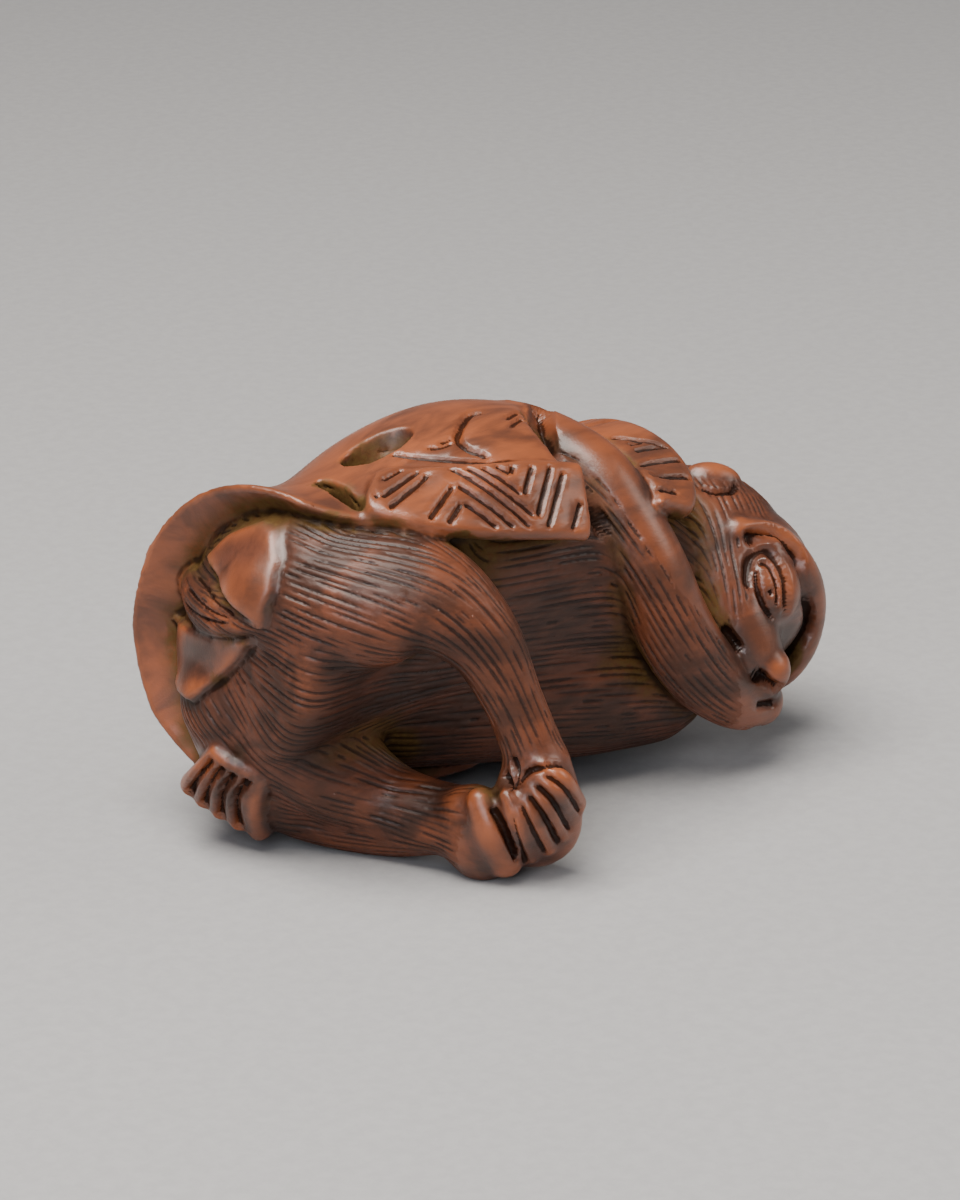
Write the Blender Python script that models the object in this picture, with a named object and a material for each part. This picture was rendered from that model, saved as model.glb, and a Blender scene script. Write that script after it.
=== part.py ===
"""Netsuke carved from one block of boxwood: a monkey in a sleeveless coat, lying on its left side.

The figure is laid out in its own frame, in shares that are millimetres on a figure 48 mm long:
x runs from the seat to the crown, y to the monkey's right and z to its front.
"""

import math

import bmesh
import bpy
import numpy as np
from mathutils import Matrix, Vector
from mathutils.bvhtree import BVHTree
from mathutils.kdtree import KDTree

# Driving dimensions, in metres
FIGURE_LENGTH = 0.047
ROLL_DEG = 120.0

# Fineness of the carving, in shares
FLESH_VOXEL = 0.3
FINAL_VOXEL = 0.24
FACES_KEPT = 9600
REST_FLAT = 0.25

# Coat
HEM_BEVEL = 2.4
BAND_WIDTH = 5.4
BAND_THICKNESS = 0.8
COLLAR_WIDTH = 5.0
CORD_HOLE = 1.5
FRET_WIDTH = 0.6
FRET_DEPTH = 0.36
# The key fret: nested chevrons with long falling and short rising sides, in mm along for each mm across
FRET_SPACING = 1.6
FRET_LINES = 1.3
FRET_FALL = 1.16
FRET_RISE = 0.56
FRET_PERIOD = 10.1
FRET_START = 1.0
FRET_THIN = 0.5


def smoothstep(low, high, value):
    share = np.clip((value - low) / (high - low), 0.0, 1.0)
    return share * share * (3.0 - 2.0 * share)


def curve_through(rows, per_span):
    """Catmull-Rom interpolation of equal-length rows of numbers."""
    rows = np.array(rows, float)
    padded = np.vstack([2 * rows[0] - rows[1], rows, 2 * rows[-1] - rows[-2]])
    out = []
    for i in range(1, len(padded) - 2):
        a, b, c, d = padded[i - 1:i + 3]
        for k in range(per_span):
            t = k / per_span
            out.append(0.5 * (2 * b + (c - a) * t + (2 * a - 5 * b + 4 * c - d) * t ** 2
                              + (3 * b - a - 3 * c + d) * t ** 3))
    out.append(padded[-2])
    return np.array(out)


def solid_from_rings(rings):
    """Points and faces of a closed solid whose skin runs through rings of equal count."""
    count = len(rings[0])
    points = [tuple(p) for ring in rings for p in ring]
    faces = []
    for i in range(len(rings) - 1):
        for j in range(count):
            k = (j + 1) % count
            faces.append((i * count + j, i * count + k, (i + 1) * count + k, (i + 1) * count + j))
    for ring, start in ((rings[0], 0), (rings[-1], (len(rings) - 1) * count)):
        middle = len(points)
        points.append(tuple(np.mean(ring, axis=0)))
        for j in range(count):
            k = (j + 1) % count
            faces.append((middle, start + k, start + j) if start == 0 else (middle, start + j, start + k))
    return points, faces


def limb(stations, outward, per_span=6, sides=24, squareness=2.0):
    """A rounded limb: each station is x, y, z, half width, half thickness."""
    rows = curve_through(stations, per_span)
    centres, sizes = rows[:, :3], np.maximum(rows[:, 3:5], 0.05)
    tangents = np.gradient(centres, axis=0)
    tangents /= np.linalg.norm(tangents, axis=1)[:, None]
    outward = np.array(outward, float)
    angles = np.arange(sides) * 2 * math.pi / sides
    cos = np.sign(np.cos(angles)) * np.abs(np.cos(angles)) ** (2 / squareness)
    sin = np.sign(np.sin(angles)) * np.abs(np.sin(angles)) ** (2 / squareness)

    def ring(centre, tangent, half_width, half_thickness):
        normal = outward - tangent * (outward @ tangent)
        normal /= np.linalg.norm(normal)
        side = np.cross(tangent, normal)
        return centre + np.outer(cos * half_width, side) + np.outer(sin * half_thickness, normal)

    rings = []
    ends = [(math.pi / 2) * k / 4 for k in range(1, 4)]
    first, last = sizes[0].min(), sizes[-1].min()
    for a in reversed(ends):
        rings.append(ring(centres[0] - tangents[0] * first * math.sin(a), tangents[0], *(sizes[0] * math.cos(a))))
    for c, t, s in zip(centres, tangents, sizes):
        rings.append(ring(c, t, *s))
    for a in ends:
        rings.append(ring(centres[-1] + tangents[-1] * last * math.sin(a), tangents[-1], *(sizes[-1] * math.cos(a))))
    return solid_from_rings(rings)


def ball(centre, radii, turn=(0, 0, 0)):
    """An ellipsoid turned by Euler angles in degrees."""
    bm = bmesh.new()
    bmesh.ops.create_uvsphere(bm, u_segments=32, v_segments=20, radius=1.0)
    rotation = Matrix.Rotation(math.radians(turn[2]), 4, "Z") @ Matrix.Rotation(
        math.radians(turn[1]), 4, "Y") @ Matrix.Rotation(math.radians(turn[0]), 4, "X")
    bm.transform(Matrix.Translation(centre) @ rotation @ Matrix.Diagonal((*radii, 1.0)))
    points = [tuple(v.co) for v in bm.verts]
    faces = [tuple(v.index for v in f.verts) for f in bm.faces]
    bm.free()
    return points, faces


# Trunk, seat to neck: x, middle y, middle z, half width, half depth to the front and to the back
TRUNK = (
    (-19.9, 0.5, 0.0, 2.5, 2.5, 2.5),
    (-19.5, 0.5, -0.5, 6.5, 5.0, 5.0),
    (-17.8, 0.5, -1.0, 9.6, 6.3, 8.0),
    (-14.0, 0.5, -1.2, 10.4, 6.4, 9.2),
    (-7.0, 0.5, -1.2, 11.6, 6.2, 10.4),
    (1.0, 0.5, -1.2, 11.8, 7.2, 10.4),
    (7.0, 0.5, -1.0, 10.2, 8.2, 9.8),
    (11.0, 0.3, -0.5, 8.2, 8.2, 8.4),
    (14.0, 0.2, 0.5, 6.4, 6.6, 7.0),
    (17.0, 0.0, 1.5, 5.0, 5.0, 5.5),
)
# Outside of the coat, the same way
COAT = (
    (-21.0, 0.5, -1.2, 12.8, 10.0, 11.4),
    (-18.6, 0.5, -1.2, 11.9, 9.0, 10.6),
    (-15.0, 0.5, -1.2, 11.1, 8.0, 9.9),
    (-11.5, 0.5, -1.2, 11.4, 7.6, 10.2),
    (-6.0, 0.5, -1.2, 12.8, 7.6, 12.0),
    (-1.0, 0.5, -1.2, 13.4, 8.0, 12.8),
    (3.0, 0.5, -1.2, 12.9, 8.6, 12.4),
    (7.0, 0.5, -1.0, 11.5, 9.2, 11.3),
    (10.0, 0.3, -0.6, 9.8, 9.0, 9.8),
    (14.0, 0.1, 0.2, 7.6, 7.8, 8.2),
    (18.0, 0.0, 1.0, 6.6, 6.6, 7.0),
)


def table_row(table, x):
    return [np.interp(x, table[:, 0], table[:, i]) for i in range(1, 6)]


SMOOTH_TRUNK = curve_through(TRUNK, 8)
SMOOTH_COAT = curve_through(COAT, 8)


def skin_point(table, x, angle, extra=0.0):
    """A point of the trunk or coat at x, at an angle from the right side (0) to the front (90 degrees)."""
    yc, zc, wide, front, back = table_row(table, x)
    depth = np.where(np.sin(angle) >= 0, front, back)
    return np.stack([x + 0 * angle, yc + (wide + extra) * np.cos(angle), zc + (depth + extra) * np.sin(angle)], -1)


def trunk():
    angles = np.arange(64) * 2 * math.pi / 64
    return solid_from_rings([skin_point(SMOOTH_TRUNK, x, angles) for x in SMOOTH_TRUNK[:, 0]])


# Hem of the coat: x by angle round the trunk in degrees (0 right, 90 front, -90 back, 180 left)
HEM = ((-180, -17.9), (-150, -19.4), (-120, -19.8), (-90, -19.6), (-60, -19.0), (-35, -18.2), (-15, -17.2), (-6, -15.6), (-1, -14.1),
       (5, -13.1), (12, -12.0), (18, -10.4), (24, -9.0), (40, -8.0), (90, -8.0), (140, -8.0), (158, -10.0), (168, -14.0), (180, -17.9))
# Front edge of the coat: degrees from the right side by x, the left side the same
EDGE = ((-20.0, 8.0), (-12.0, 12.0), (-10.2, 19.0), (-8.8, 24.0), (-4.0, 30.0), (1.0, 35.0), (2.5, 27.0), (9.0, 26.0), (11.5, 22.0), (13.0, 4.0), (16.0, -20.0))


def coat():
    degrees = np.arange(240) * 1.5 - 180.0
    angles = np.radians(degrees)
    hem = np.interp(degrees, *np.array(HEM).T)
    from_front = np.abs(degrees - 90.0)
    from_front = np.minimum(from_front, 360 - from_front)

    def ring(x, extra):
        edge = np.interp(x, *np.array(EDGE).T)
        covered = smoothstep(88.8 - edge, 91.2 - edge, from_front)
        for middle in (3.0, 177.0):
            apart = np.abs((degrees - middle + 180.0) % 360.0 - 180.0)
            covered = covered * smoothstep(0.95, 1.05, np.hypot((x - 8.5) / 6.8, apart / 36.0))
        return skin_point(SMOOTH_COAT, x, angles, extra * covered - 2.2 * (1 - covered))

    def drawn_in(points, share):
        middle = points.mean(axis=0)
        return middle + (points - middle) * np.array([1.0, share, share])

    inside = [drawn_in(ring(hem + HEM_BEVEL * 1.1, -1.6), share) for share in (0.15, 0.5, 0.85)]
    bevel = [ring(hem + HEM_BEVEL, -2.1), ring(hem + HEM_BEVEL * 0.62, -1.5), ring(hem + HEM_BEVEL * 0.3, -0.75), ring(hem, -0.15)]
    lengths = np.linspace(0.0, 1.0, 64) ** 1.2
    outside = [ring(hem + 0.2 + share * (14.0 - hem), 0.25 * math.exp(-share * 20)) for share in lengths]
    neck = [drawn_in(ring(14.6 + 0 * hem, -0.5), share) for share in (0.9, 0.6, 0.2)]
    return solid_from_rings(inside + bevel + outside + neck)


def laid_on_coat(route, lift=0.0):
    """Middle points, sideways and outward directions along a route of x and degrees on the coat."""
    rows = curve_through(route, 10)
    angles = np.radians(rows[:, 1])
    middles = np.array([skin_point(SMOOTH_COAT, x, np.array(a), lift) for x, a in zip(rows[:, 0], angles)])
    normals = np.array([skin_point(SMOOTH_COAT, x, np.array(a), lift + 1.0) for x, a in zip(rows[:, 0], angles)]) - middles
    normals /= np.linalg.norm(normals, axis=1)[:, None]
    tangents = np.gradient(middles, axis=0)
    tangents /= np.linalg.norm(tangents, axis=1)[:, None]
    sides = np.cross(normals, tangents)
    sides /= np.linalg.norm(sides, axis=1)[:, None]
    return middles, sides, normals


def strap(route, width, thickness, lift, end_widths=(1.0, 1.0)):
    """A flat strap laid on the coat, drawn in to a share of its width at each end."""
    middles, sides, normals = laid_on_coat(route, lift)
    around = np.arange(24) * 2 * math.pi / 24
    across = np.sign(np.cos(around)) * np.abs(np.cos(around)) ** 0.5
    upward = np.sign(np.sin(around)) * np.abs(np.sin(around)) ** 0.6
    share = np.linspace(0.0, 1.0, len(middles))
    widths = width * (end_widths[0] + (1 - end_widths[0]) * smoothstep(0.0, 0.14, share))
    widths = widths * (end_widths[1] + (1 - end_widths[1]) * smoothstep(0.0, 0.14, 1.0 - share))
    rings = [m + np.outer(across * w / 2, s) + np.outer(upward * thickness, n) for m, s, n, w in zip(middles, sides, normals, widths)]
    return solid_from_rings(rings)


BAND_ROUTE = ((-11.9, -12.0), (-11.4, -8.5), (-10.7, -4.0), (-9.3, 3.5), (-7.0, 12.5), (-4.5, 18.6), (-1.6, 23.4), (1.8, 27.0))
COLLAR_ROUTE = ((8.4, 26.0), (10.0, 18.5), (11.4, 10.0), (12.4, -6.0), (12.7, -30.0), (12.6, -60.0), (12.5, -90.0), (12.6, -120.0),
                (12.7, -150.0), (12.4, -174.0), (11.4, -190.0), (10.0, -198.5), (8.4, -206.0))



def mirrored_route(route):
    return tuple((x, 180.0 - a) for x, a in route)


def front_bands():
    """The broad bands sewn along the coat's right and left front edges."""
    return [strap(route, BAND_WIDTH, BAND_THICKNESS, 0.1, (0.75, 1.0)) for route in (BAND_ROUTE, mirrored_route(BAND_ROUTE))]


def collar():
    return strap(COLLAR_ROUTE, COLLAR_WIDTH, 1.2, 0.5, (0.1, 0.1))


# Limbs from the trunk outwards: x, y, z, half width, half thickness
RIGHT_LEG = (
    (-15.5, 4.5, -2.0, 5.5, 5.0),
    (-14.2, 7.2, 1.5, 5.0, 4.6),
    (-11.5, 9.2, 4.2, 4.4, 3.5),
    (-9.2, 8.2, 7.6, 2.9, 2.6),
    (-7.6, 5.2, 10.8, 2.1, 2.0),
    (-6.6, 2.6, 13.4, 2.1, 2.0),
)
LEFT_LEG = (
    (-15.5, -4.5, -2.0, 5.5, 5.0),
    (-14.4, -8.1, 1.0, 4.8, 4.45),
    (-12.2, -9.7, 4.0, 3.9, 2.7),
    (-10.5, -7.9, 8.2, 3.0, 2.6),
    (-9.6, -5.0, 11.6, 2.6, 2.3),
    (-9.2, -3.0, 14.0, 2.4, 2.2),
)
RIGHT_ARM = (
    (3.6, 8.6, -6.6, 3.0, 2.4),
    (5.2, 9.8, -4.2, 2.7, 2.3),
    (6.6, 10.2, -0.8, 2.5, 2.3),
    (7.3, 9.0, 2.2, 2.6, 2.4),
    (8.3, 6.8, 5.4, 2.7, 2.5),
    (9.9, 3.4, 8.1, 2.8, 2.6),
    (12.9, -0.1, 10.0, 2.7, 2.5),
    (16.2, -2.3, 11.4, 2.4, 2.1),
    (18.3, -2.9, 12.0, 1.8, 1.6),
)
LEFT_ARM = (
    (10.6, -8.8, -2.2, 3.4, 3.0),
    (9.6, -12.2, -1.9, 3.1, 2.9),
    (7.6, -13.5, -1.8, 3.0, 2.8),
    (3.0, -13.3, -1.9, 2.8, 2.6),
    (-3.0, -13.3, -2.4, 2.4, 2.1),
    (-10.5, -13.0, -2.4, 2.3, 2.0),
    (-14.0, -12.4, -1.4, 2.8, 1.8),
)
CHEST = (
    (-6.0, -5.5, -0.5, 6.3, 5.8),
    (2.0, -5.2, 1.5, 6.5, 6.1),
    (8.5, -4.8, 3.6, 6.5, 6.1),
    (12.8, -4.6, 5.2, 5.6, 5.5),
)
TAIL = (
    (-16.8, -0.9, -9.6, 1.6, 1.2),
    (-19.2, 0.8, -6.0, 1.7, 1.1),
    (-20.2, 3.1, -2.8, 1.2, 0.9),
    (-20.3, 5.0, -0.4, 0.5, 0.6),
)


def legs():
    """Both legs drawn up, with the broad calf of the lower one pressed to its thigh."""
    calf = limb(((-15.5, -5.0, 1.5, 4.0, 4.0), (-13.2, -6.2, 4.6, 3.7, 3.4), (-11.2, -6.2, 8.0, 2.7, 2.4), (-10.0, -4.6, 11.0, 2.0, 1.9)), (0.3, -1, 0.2))
    return [limb(RIGHT_LEG, (0.3, 1, 0.2)), limb(LEFT_LEG, (0.3, -1, 0.2)), calf]


def feet():
    return [
        limb(((-6.6, 2.0, 14.2, 2.3, 2.2), (-6.9, 0.6, 15.4, 2.9, 1.8), (-6.7, -2.0, 16.2, 3.3, 1.6), (-6.6, -3.8, 16.0, 2.9, 1.6)), (-0.6, 0.1, 0.8)),
        limb(((-9.4, -3.0, 13.4, 2.4, 2.3), (-9.4, -4.0, 14.4, 2.5, 2.1), (-8.8, -4.9, 15.2, 2.35, 1.85)), (-0.8, -0.1, 0.6)),
    ]


def toe_line(share, lift=0.0):
    """Root, knuckle and tip of a line over the foot, by its share of the way across from right to left."""
    arch = math.sin(math.pi * min(1.0, max(0.0, share)))
    return ((-8.2 - 1.7 * share, 3.4 - 2.6 * share, 15.0 + 0.5 * share + lift), (-7.0 - 2.4 * share, 2.9 - 3.8 * share, 16.4 + 0.5 * arch + lift),
            (-4.7 - 2.9 * share, 0.2 - 4.0 * share, 17.0 + 0.8 * arch + lift))


def toes():
    """Long toes side by side over the clasped soles, the big toe of the lower foot beside them."""
    parts = []
    for share in (-0.06, 0.125, 0.375, 0.625, 0.875):
        root, knuckle, tip = toe_line(share)
        root = (root[0] + 0.2, root[1] - 0.3, root[2] - 0.5)
        parts.append(limb(((*root, 0.4, 0.45), (*knuckle, 0.66, 0.85), (*tip, 0.62, 0.8)), (-0.4, 0.3, 0.8), sides=12))
    parts.append(limb(((-10.2, -0.5, 13.9, 0.9, 0.9), (-10.0, -1.8, 15.6, 1.35, 1.1), (-8.7, -4.0, 16.8, 1.25, 1.1)), (-0.8, 0.1, 0.6), sides=16))
    return parts


def arms():
    """The right arm bent up to the face, the left one down the side that the figure lies on."""
    return [limb(RIGHT_ARM, (0.0, 0.8, 0.6)), limb(LEFT_ARM, (0.0, -1, 0.0))]


def left_hand():
    """Back of the hand laid on the hip, and five fingers with rounded tips."""
    parts = [limb(((-13.0, -12.2, -3.0, 2.6, 1.8), (-15.0, -12.0, -1.0, 3.0, 2.0), (-16.8, -11.0, 0.6, 2.8, 1.8), (-17.8, -9.2, 1.2, 2.2, 1.4)),
                  (-0.4, -0.8, 0.3))]
    for k in range(5):
        share = k / 4
        tip = (-20.2 + 1.8 * share ** 1.5, -6.3, 0.5 + 2.9 * share)
        middle = (-20.2 + 1.9 * share ** 1.5, -8.6, 0.0 + 3.6 * share)
        root = (-19.3 + 2.2 * share ** 1.5, -11.2, -1.0 + 5.0 * share)
        parts.append(limb(((*tip, 0.6, 0.65), (*middle, 0.72, 0.85), (*root, 0.85, 0.95)), (-0.8, -0.5, 0.3), sides=12))
    return parts


def tail():
    return limb(TAIL, (-1, 0, -0.3))


def head():
    """Skull, the raised fringe over the brow, muzzle, cheeks and ears, with the head drooping to the left."""
    muzzle = limb(((17.2, 0.0, 2.5, 6.6, 6.2), (17.0, 0.0, 6.0, 5.6, 4.8), (17.1, -0.1, 8.6, 4.3, 3.6), (17.4, -0.2, 10.4, 3.1, 2.6),
                   (17.7, -0.3, 11.5, 2.1, 1.8)), (1, 0, 0.2))
    fringe = limb(((18.0, 5.9, 4.0, 1.2, 1.1), (20.8, 5.3, 5.4, 1.4, 1.3), (22.8, 3.4, 6.9, 1.5, 1.5), (23.9, 0.9, 8.0, 1.6, 1.6),
                   (23.7, -1.8, 9.0, 1.6, 1.6), (22.7, -4.0, 9.2, 1.5, 1.5), (20.8, -5.4, 8.4, 1.4, 1.4), (18.6, -6.0, 6.6, 1.2, 1.1)), (0.3, 0, 1))
    parts = [ball((18.6, 0.0, 1.8), (7.2, 7.0, 7.4)), ball((19.9, 0.0, 4.4), (6.1, 6.5, 5.8)), fringe, muzzle]
    parts += [ball((19.3, 2.8, 6.2), (3.4, 3.2, 3.8)), ball((19.6, -3.1, 6.7), (3.6, 3.3, 3.9))]
    parts += [ball((19.8, 6.1 * side, -0.7), (2.1, 1.1, 1.1), (0, -30, 0)) for side in (1, -1)]
    return parts


def chest():
    """The left breast and shoulder, on which the figure rests."""
    return limb(CHEST, (0, -0.3, 1))


def fused(name, solids, voxel, smoothing):
    """One closed skin round all the solids."""
    points, faces = [], []
    for solid_points, solid_faces in solids:
        start = len(points)
        points += solid_points
        faces += [tuple(start + i for i in face) for face in solid_faces]
    mesh = bpy.data.meshes.new(name)
    mesh.from_pydata([tuple(map(float, p)) for p in points], [], faces)
    bm = bmesh.new()
    bm.from_mesh(mesh)
    bmesh.ops.recalc_face_normals(bm, faces=bm.faces)
    bm.to_mesh(mesh)
    bm.free()
    block = bpy.data.objects.new(name, mesh)
    bpy.context.scene.collection.objects.link(block)
    remesh = block.modifiers.new("Fuse", "REMESH")
    remesh.mode = "VOXEL"
    remesh.voxel_size = voxel
    smooth = block.modifiers.new("Soften", "SMOOTH")
    smooth.factor = 0.5
    smooth.iterations = smoothing
    graph = bpy.context.evaluated_depsgraph_get()
    made = bpy.data.meshes.new_from_object(block.evaluated_get(graph))
    bpy.data.objects.remove(block)
    bpy.data.meshes.remove(mesh)
    return made


def as_solid(mesh):
    points = [tuple(v.co) for v in mesh.vertices]
    faces = [tuple(p.vertices) for p in mesh.polygons]
    bpy.data.meshes.remove(mesh)
    return points, faces


def cut_out(mesh, tools):
    """The mesh less the tools."""
    block = bpy.data.objects.new("block", mesh)
    bpy.context.scene.collection.objects.link(block)
    cutters = []
    for points, faces in tools:
        tool_mesh = bpy.data.meshes.new("tool")
        tool_mesh.from_pydata([tuple(map(float, p)) for p in points], [], faces)
        bm = bmesh.new()
        bm.from_mesh(tool_mesh)
        bmesh.ops.recalc_face_normals(bm, faces=bm.faces)
        bm.to_mesh(tool_mesh)
        bm.free()
        cutter = bpy.data.objects.new("tool", tool_mesh)
        cutter.hide_render = True
        cutter.display_type = "WIRE"
        bpy.context.scene.collection.objects.link(cutter)
        cutters.append(cutter)
        less = block.modifiers.new("Less", "BOOLEAN")
        less.operation = "DIFFERENCE"
        less.solver = "EXACT"
        less.object = cutter
    graph = bpy.context.evaluated_depsgraph_get()
    made = bpy.data.meshes.new_from_object(block.evaluated_get(graph))
    for extra in (block, *cutters):
        bpy.data.objects.remove(extra)
    return made


def cord_channel():
    """The two cord holes in the coat's right side and the bent channel that joins them."""
    r = CORD_HOLE
    return limb(((-7.6, 14.0, -9.2, r * 1.15, r * 1.9), (-7.9, 11.2, -7.6, r * 1.1, r * 1.75), (-9.4, 8.5, -5.4, r, r),
                 (-11.6, 7.7, -4.2, r * 0.9, r * 0.8), (-12.9, 8.9, -4.0, r * 1.3, r * 0.5), (-13.2, 11.2, -4.5, r * 1.8, r * 0.42),
                 (-13.3, 13.6, -5.3, r * 2.0, r * 0.45)), (1, 0.3, 0))


def vertex_data(mesh):
    count = len(mesh.vertices)
    points = np.empty(count * 3)
    normals = np.empty(count * 3)
    mesh.vertices.foreach_get("co", points)
    mesh.vertices.foreach_get("normal", normals)
    return points.reshape(-1, 3), normals.reshape(-1, 3)


def line_on_skin(tree, route, width):
    """Closely spaced points on the skin along a route, and the skin's normals there."""
    samples = curve_through(route, 6) if len(route) > 2 else np.linspace(route[0], route[-1], 8)
    fine = [samples[0]]
    for a, b in zip(samples[:-1], samples[1:]):
        steps = max(1, int(np.linalg.norm(b - a) / (width * 0.2)))
        fine += [a + (b - a) * (i + 1) / steps for i in range(steps)]
    line, facing = [], []
    for sample in fine:
        place, normal, _, distance = tree.find_nearest(Vector(sample))
        if distance < 1.6:
            line.append(place)
            facing.append(normal)
    return np.array(line), np.array(facing)


def carve(mesh, strokes):
    """Presses each stroke into the surface: points near it, width, depth, and how much its ends taper."""
    tree = BVHTree.FromPolygons([v.co for v in mesh.vertices], [tuple(p.vertices) for p in mesh.polygons])
    points, normals = vertex_data(mesh)
    by_place = KDTree(len(points))
    for i, point in enumerate(points):
        by_place.insert(point, i)
    by_place.balance()
    moves = np.zeros(len(points))
    for route, width, depth, taper in strokes:
        line, facing = line_on_skin(tree, route, width)
        if len(line) < 2:
            continue
        reach = width / 2
        near = sorted({i for place in line[::2] for _, i, _ in by_place.find_range(place, reach * 1.15)})
        if not near:
            continue
        gaps = np.linalg.norm(points[near, None, :] - line[None, :, :], axis=2)
        closest = gaps.argmin(axis=1)
        share = closest / (len(line) - 1)
        ends = np.minimum(share, 1 - share) / max(taper, 1e-6)
        strength = smoothstep(0.0, 1.0, np.clip(ends, 0, 1)) if taper > 0 else 1.0
        same_side = np.einsum("ij,ij->i", normals[near], facing[closest]) > 0.0
        profile = np.clip(1.0 - gaps.min(axis=1) / reach, 0, 1) ** 0.8 * strength * same_side * depth
        moves[near] = np.where(np.abs(profile) > np.abs(moves[near]), profile, moves[near])
    points -= normals * moves[:, None]
    mesh.vertices.foreach_set("co", points.ravel())
    mesh.update()


def raise_pads(mesh, pads, height, edge):
    """Raises flat-topped pads on the seat, away from the body, inside outlines of y and z."""
    points, normals = vertex_data(mesh)
    seat = ((points[:, 0] < -15.5) & (normals[:, 0] < -0.15)).nonzero()[0]
    flat = points[seat][:, 1:]
    for outline in pads:
        corners = np.array(outline)
        inside = np.full(len(flat), 1e9)
        winding = np.zeros(len(flat), bool)
        for a, b in zip(corners, np.roll(corners, -1, axis=0)):
            along = np.clip(((flat - a) @ (b - a)) / ((b - a) @ (b - a)), 0, 1)
            inside = np.minimum(inside, np.linalg.norm(flat - a - along[:, None] * (b - a), axis=1))
            crosses = (a[1] > flat[:, 1]) != (b[1] > flat[:, 1])
            meets = a[0] + (flat[:, 1] - a[1]) * (b[0] - a[0]) / (b[1] - a[1] + 1e-12)
            winding ^= crosses & (flat[:, 0] < meets)
        signed = np.where(winding, inside, -inside)
        lift = height * smoothstep(-edge * 0.2, edge, signed) - 0.35 * height * np.exp(-((signed + edge * 0.8) / (edge * 0.8)) ** 2)
        points[seat, 0] -= lift * smoothstep(0.15, 0.5, -normals[seat, 0])
    mesh.vertices.foreach_set("co", points.ravel())
    mesh.update()


def on_strap(route, lift, places):
    """Points on a strap, from how far along it and how far across it they lie."""
    middles, sides, _ = laid_on_coat(route, lift)
    along = np.concatenate([[0.0], np.cumsum(np.linalg.norm(np.diff(middles, axis=0), axis=1))])
    points = []
    for run, across in places:
        middle = [np.interp(run, along, middles[:, i]) for i in range(3)]
        side = [np.interp(run, along, sides[:, i]) for i in range(3)]
        points.append(np.array(middle) + np.array(side) * across)
    return points


def strap_length(route):
    middles = laid_on_coat(route)[0]
    return float(np.linalg.norm(np.diff(middles, axis=0), axis=1).sum())


def fret_lines(length):
    """Lines of the key fret over a band of that length: two points along and across it, and the line's width."""
    half = BAND_WIDTH / 2 - 0.3
    lowest = 0.8 - half
    lines = []

    def falling(run, across, low, high):
        lines.append(((run + FRET_FALL * (across - high), high), (run + FRET_FALL * (across - low), low), FRET_THIN))

    def rising(run, across, low, high):
        lines.append(((run + FRET_RISE * (low - across), low), (run + FRET_RISE * (high - across), high), FRET_WIDTH))

    for valley in np.arange(FRET_START, length + FRET_PERIOD, FRET_PERIOD):
        for n in range(3):
            tip = lowest + FRET_SPACING * n
            falling(valley - 0.6 * n, tip, tip, half)
            rising(valley - 0.6 * n, tip, tip, half)
        falling(valley - FRET_LINES, lowest, -half, half)
        rising(valley + 1.1, lowest, -half, half - 0.5)
        for k in (2, 3):
            tip = lowest + 5.4 - 1.45 * k
            run = valley - FRET_LINES * k - FRET_FALL * (tip - lowest)
            falling(run, tip, -half, tip)
            rising(run, tip, -half, tip)
    kept = []
    for a, b, width in lines:
        if a[0] > b[0]:
            a, b = b, a
        ends = np.clip([a[0], b[0]], 0.6, length - 0.5)
        if ends[1] - ends[0] > 0.25:
            kept.append(([(run, float(np.interp(run, (a[0], b[0]), (a[1], b[1])))) for run in ends], width))
    return kept


def on_collar(line, side):
    """Points on the collar from how far across it and at how many degrees they lie, or on its other side."""
    points = []
    degrees, middles = np.array(COLLAR_ROUTE)[::-1, 1], np.array(COLLAR_ROUTE)[::-1, 0]
    for across, angle in line:
        x = np.interp(angle, degrees, middles) + across
        point = skin_point(SMOOTH_COAT, x, np.array(math.radians(angle)), 1.6)
        points.append(point * np.array([1, side, 1]))
    return points


def fret_strokes():
    """The key fret along both front bands, and cross cuts round the collar."""
    strokes = []
    for route, side in ((BAND_ROUTE, 1), (mirrored_route(BAND_ROUTE), -1)):
        for line, width in fret_lines(strap_length(route)):
            places = [(run, across * side) for run, across in line]
            strokes.append((on_strap(route, BAND_THICKNESS, places), width, FRET_DEPTH, 0.12))
    for side in (1, -1):
        for angle in (19, 10, 0, -38, -48, -58):
            reach = 1.9 - max(0, angle - 10) * 0.09
            strokes.append((on_collar(((-reach, angle), (reach, angle)), side), FRET_WIDTH, FRET_DEPTH, 0.12))
        for angle in (-9, -68):
            for line in (((-1.2, angle), (1.7, angle)), ((1.7, angle), (-1.6, angle - 13)), ((-1.0, angle - 5), (0.3, angle - 5))):
                strokes.append((on_collar(line, side), FRET_WIDTH, FRET_DEPTH, 0.12))
    strokes.append((on_collar(((-1.8, -90), (1.9, -90)), 1), FRET_WIDTH, FRET_DEPTH, 0.12))
    return strokes


def both_sides(route):
    return [route, tuple((x, -y, z) for x, y, z in route)]


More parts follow.
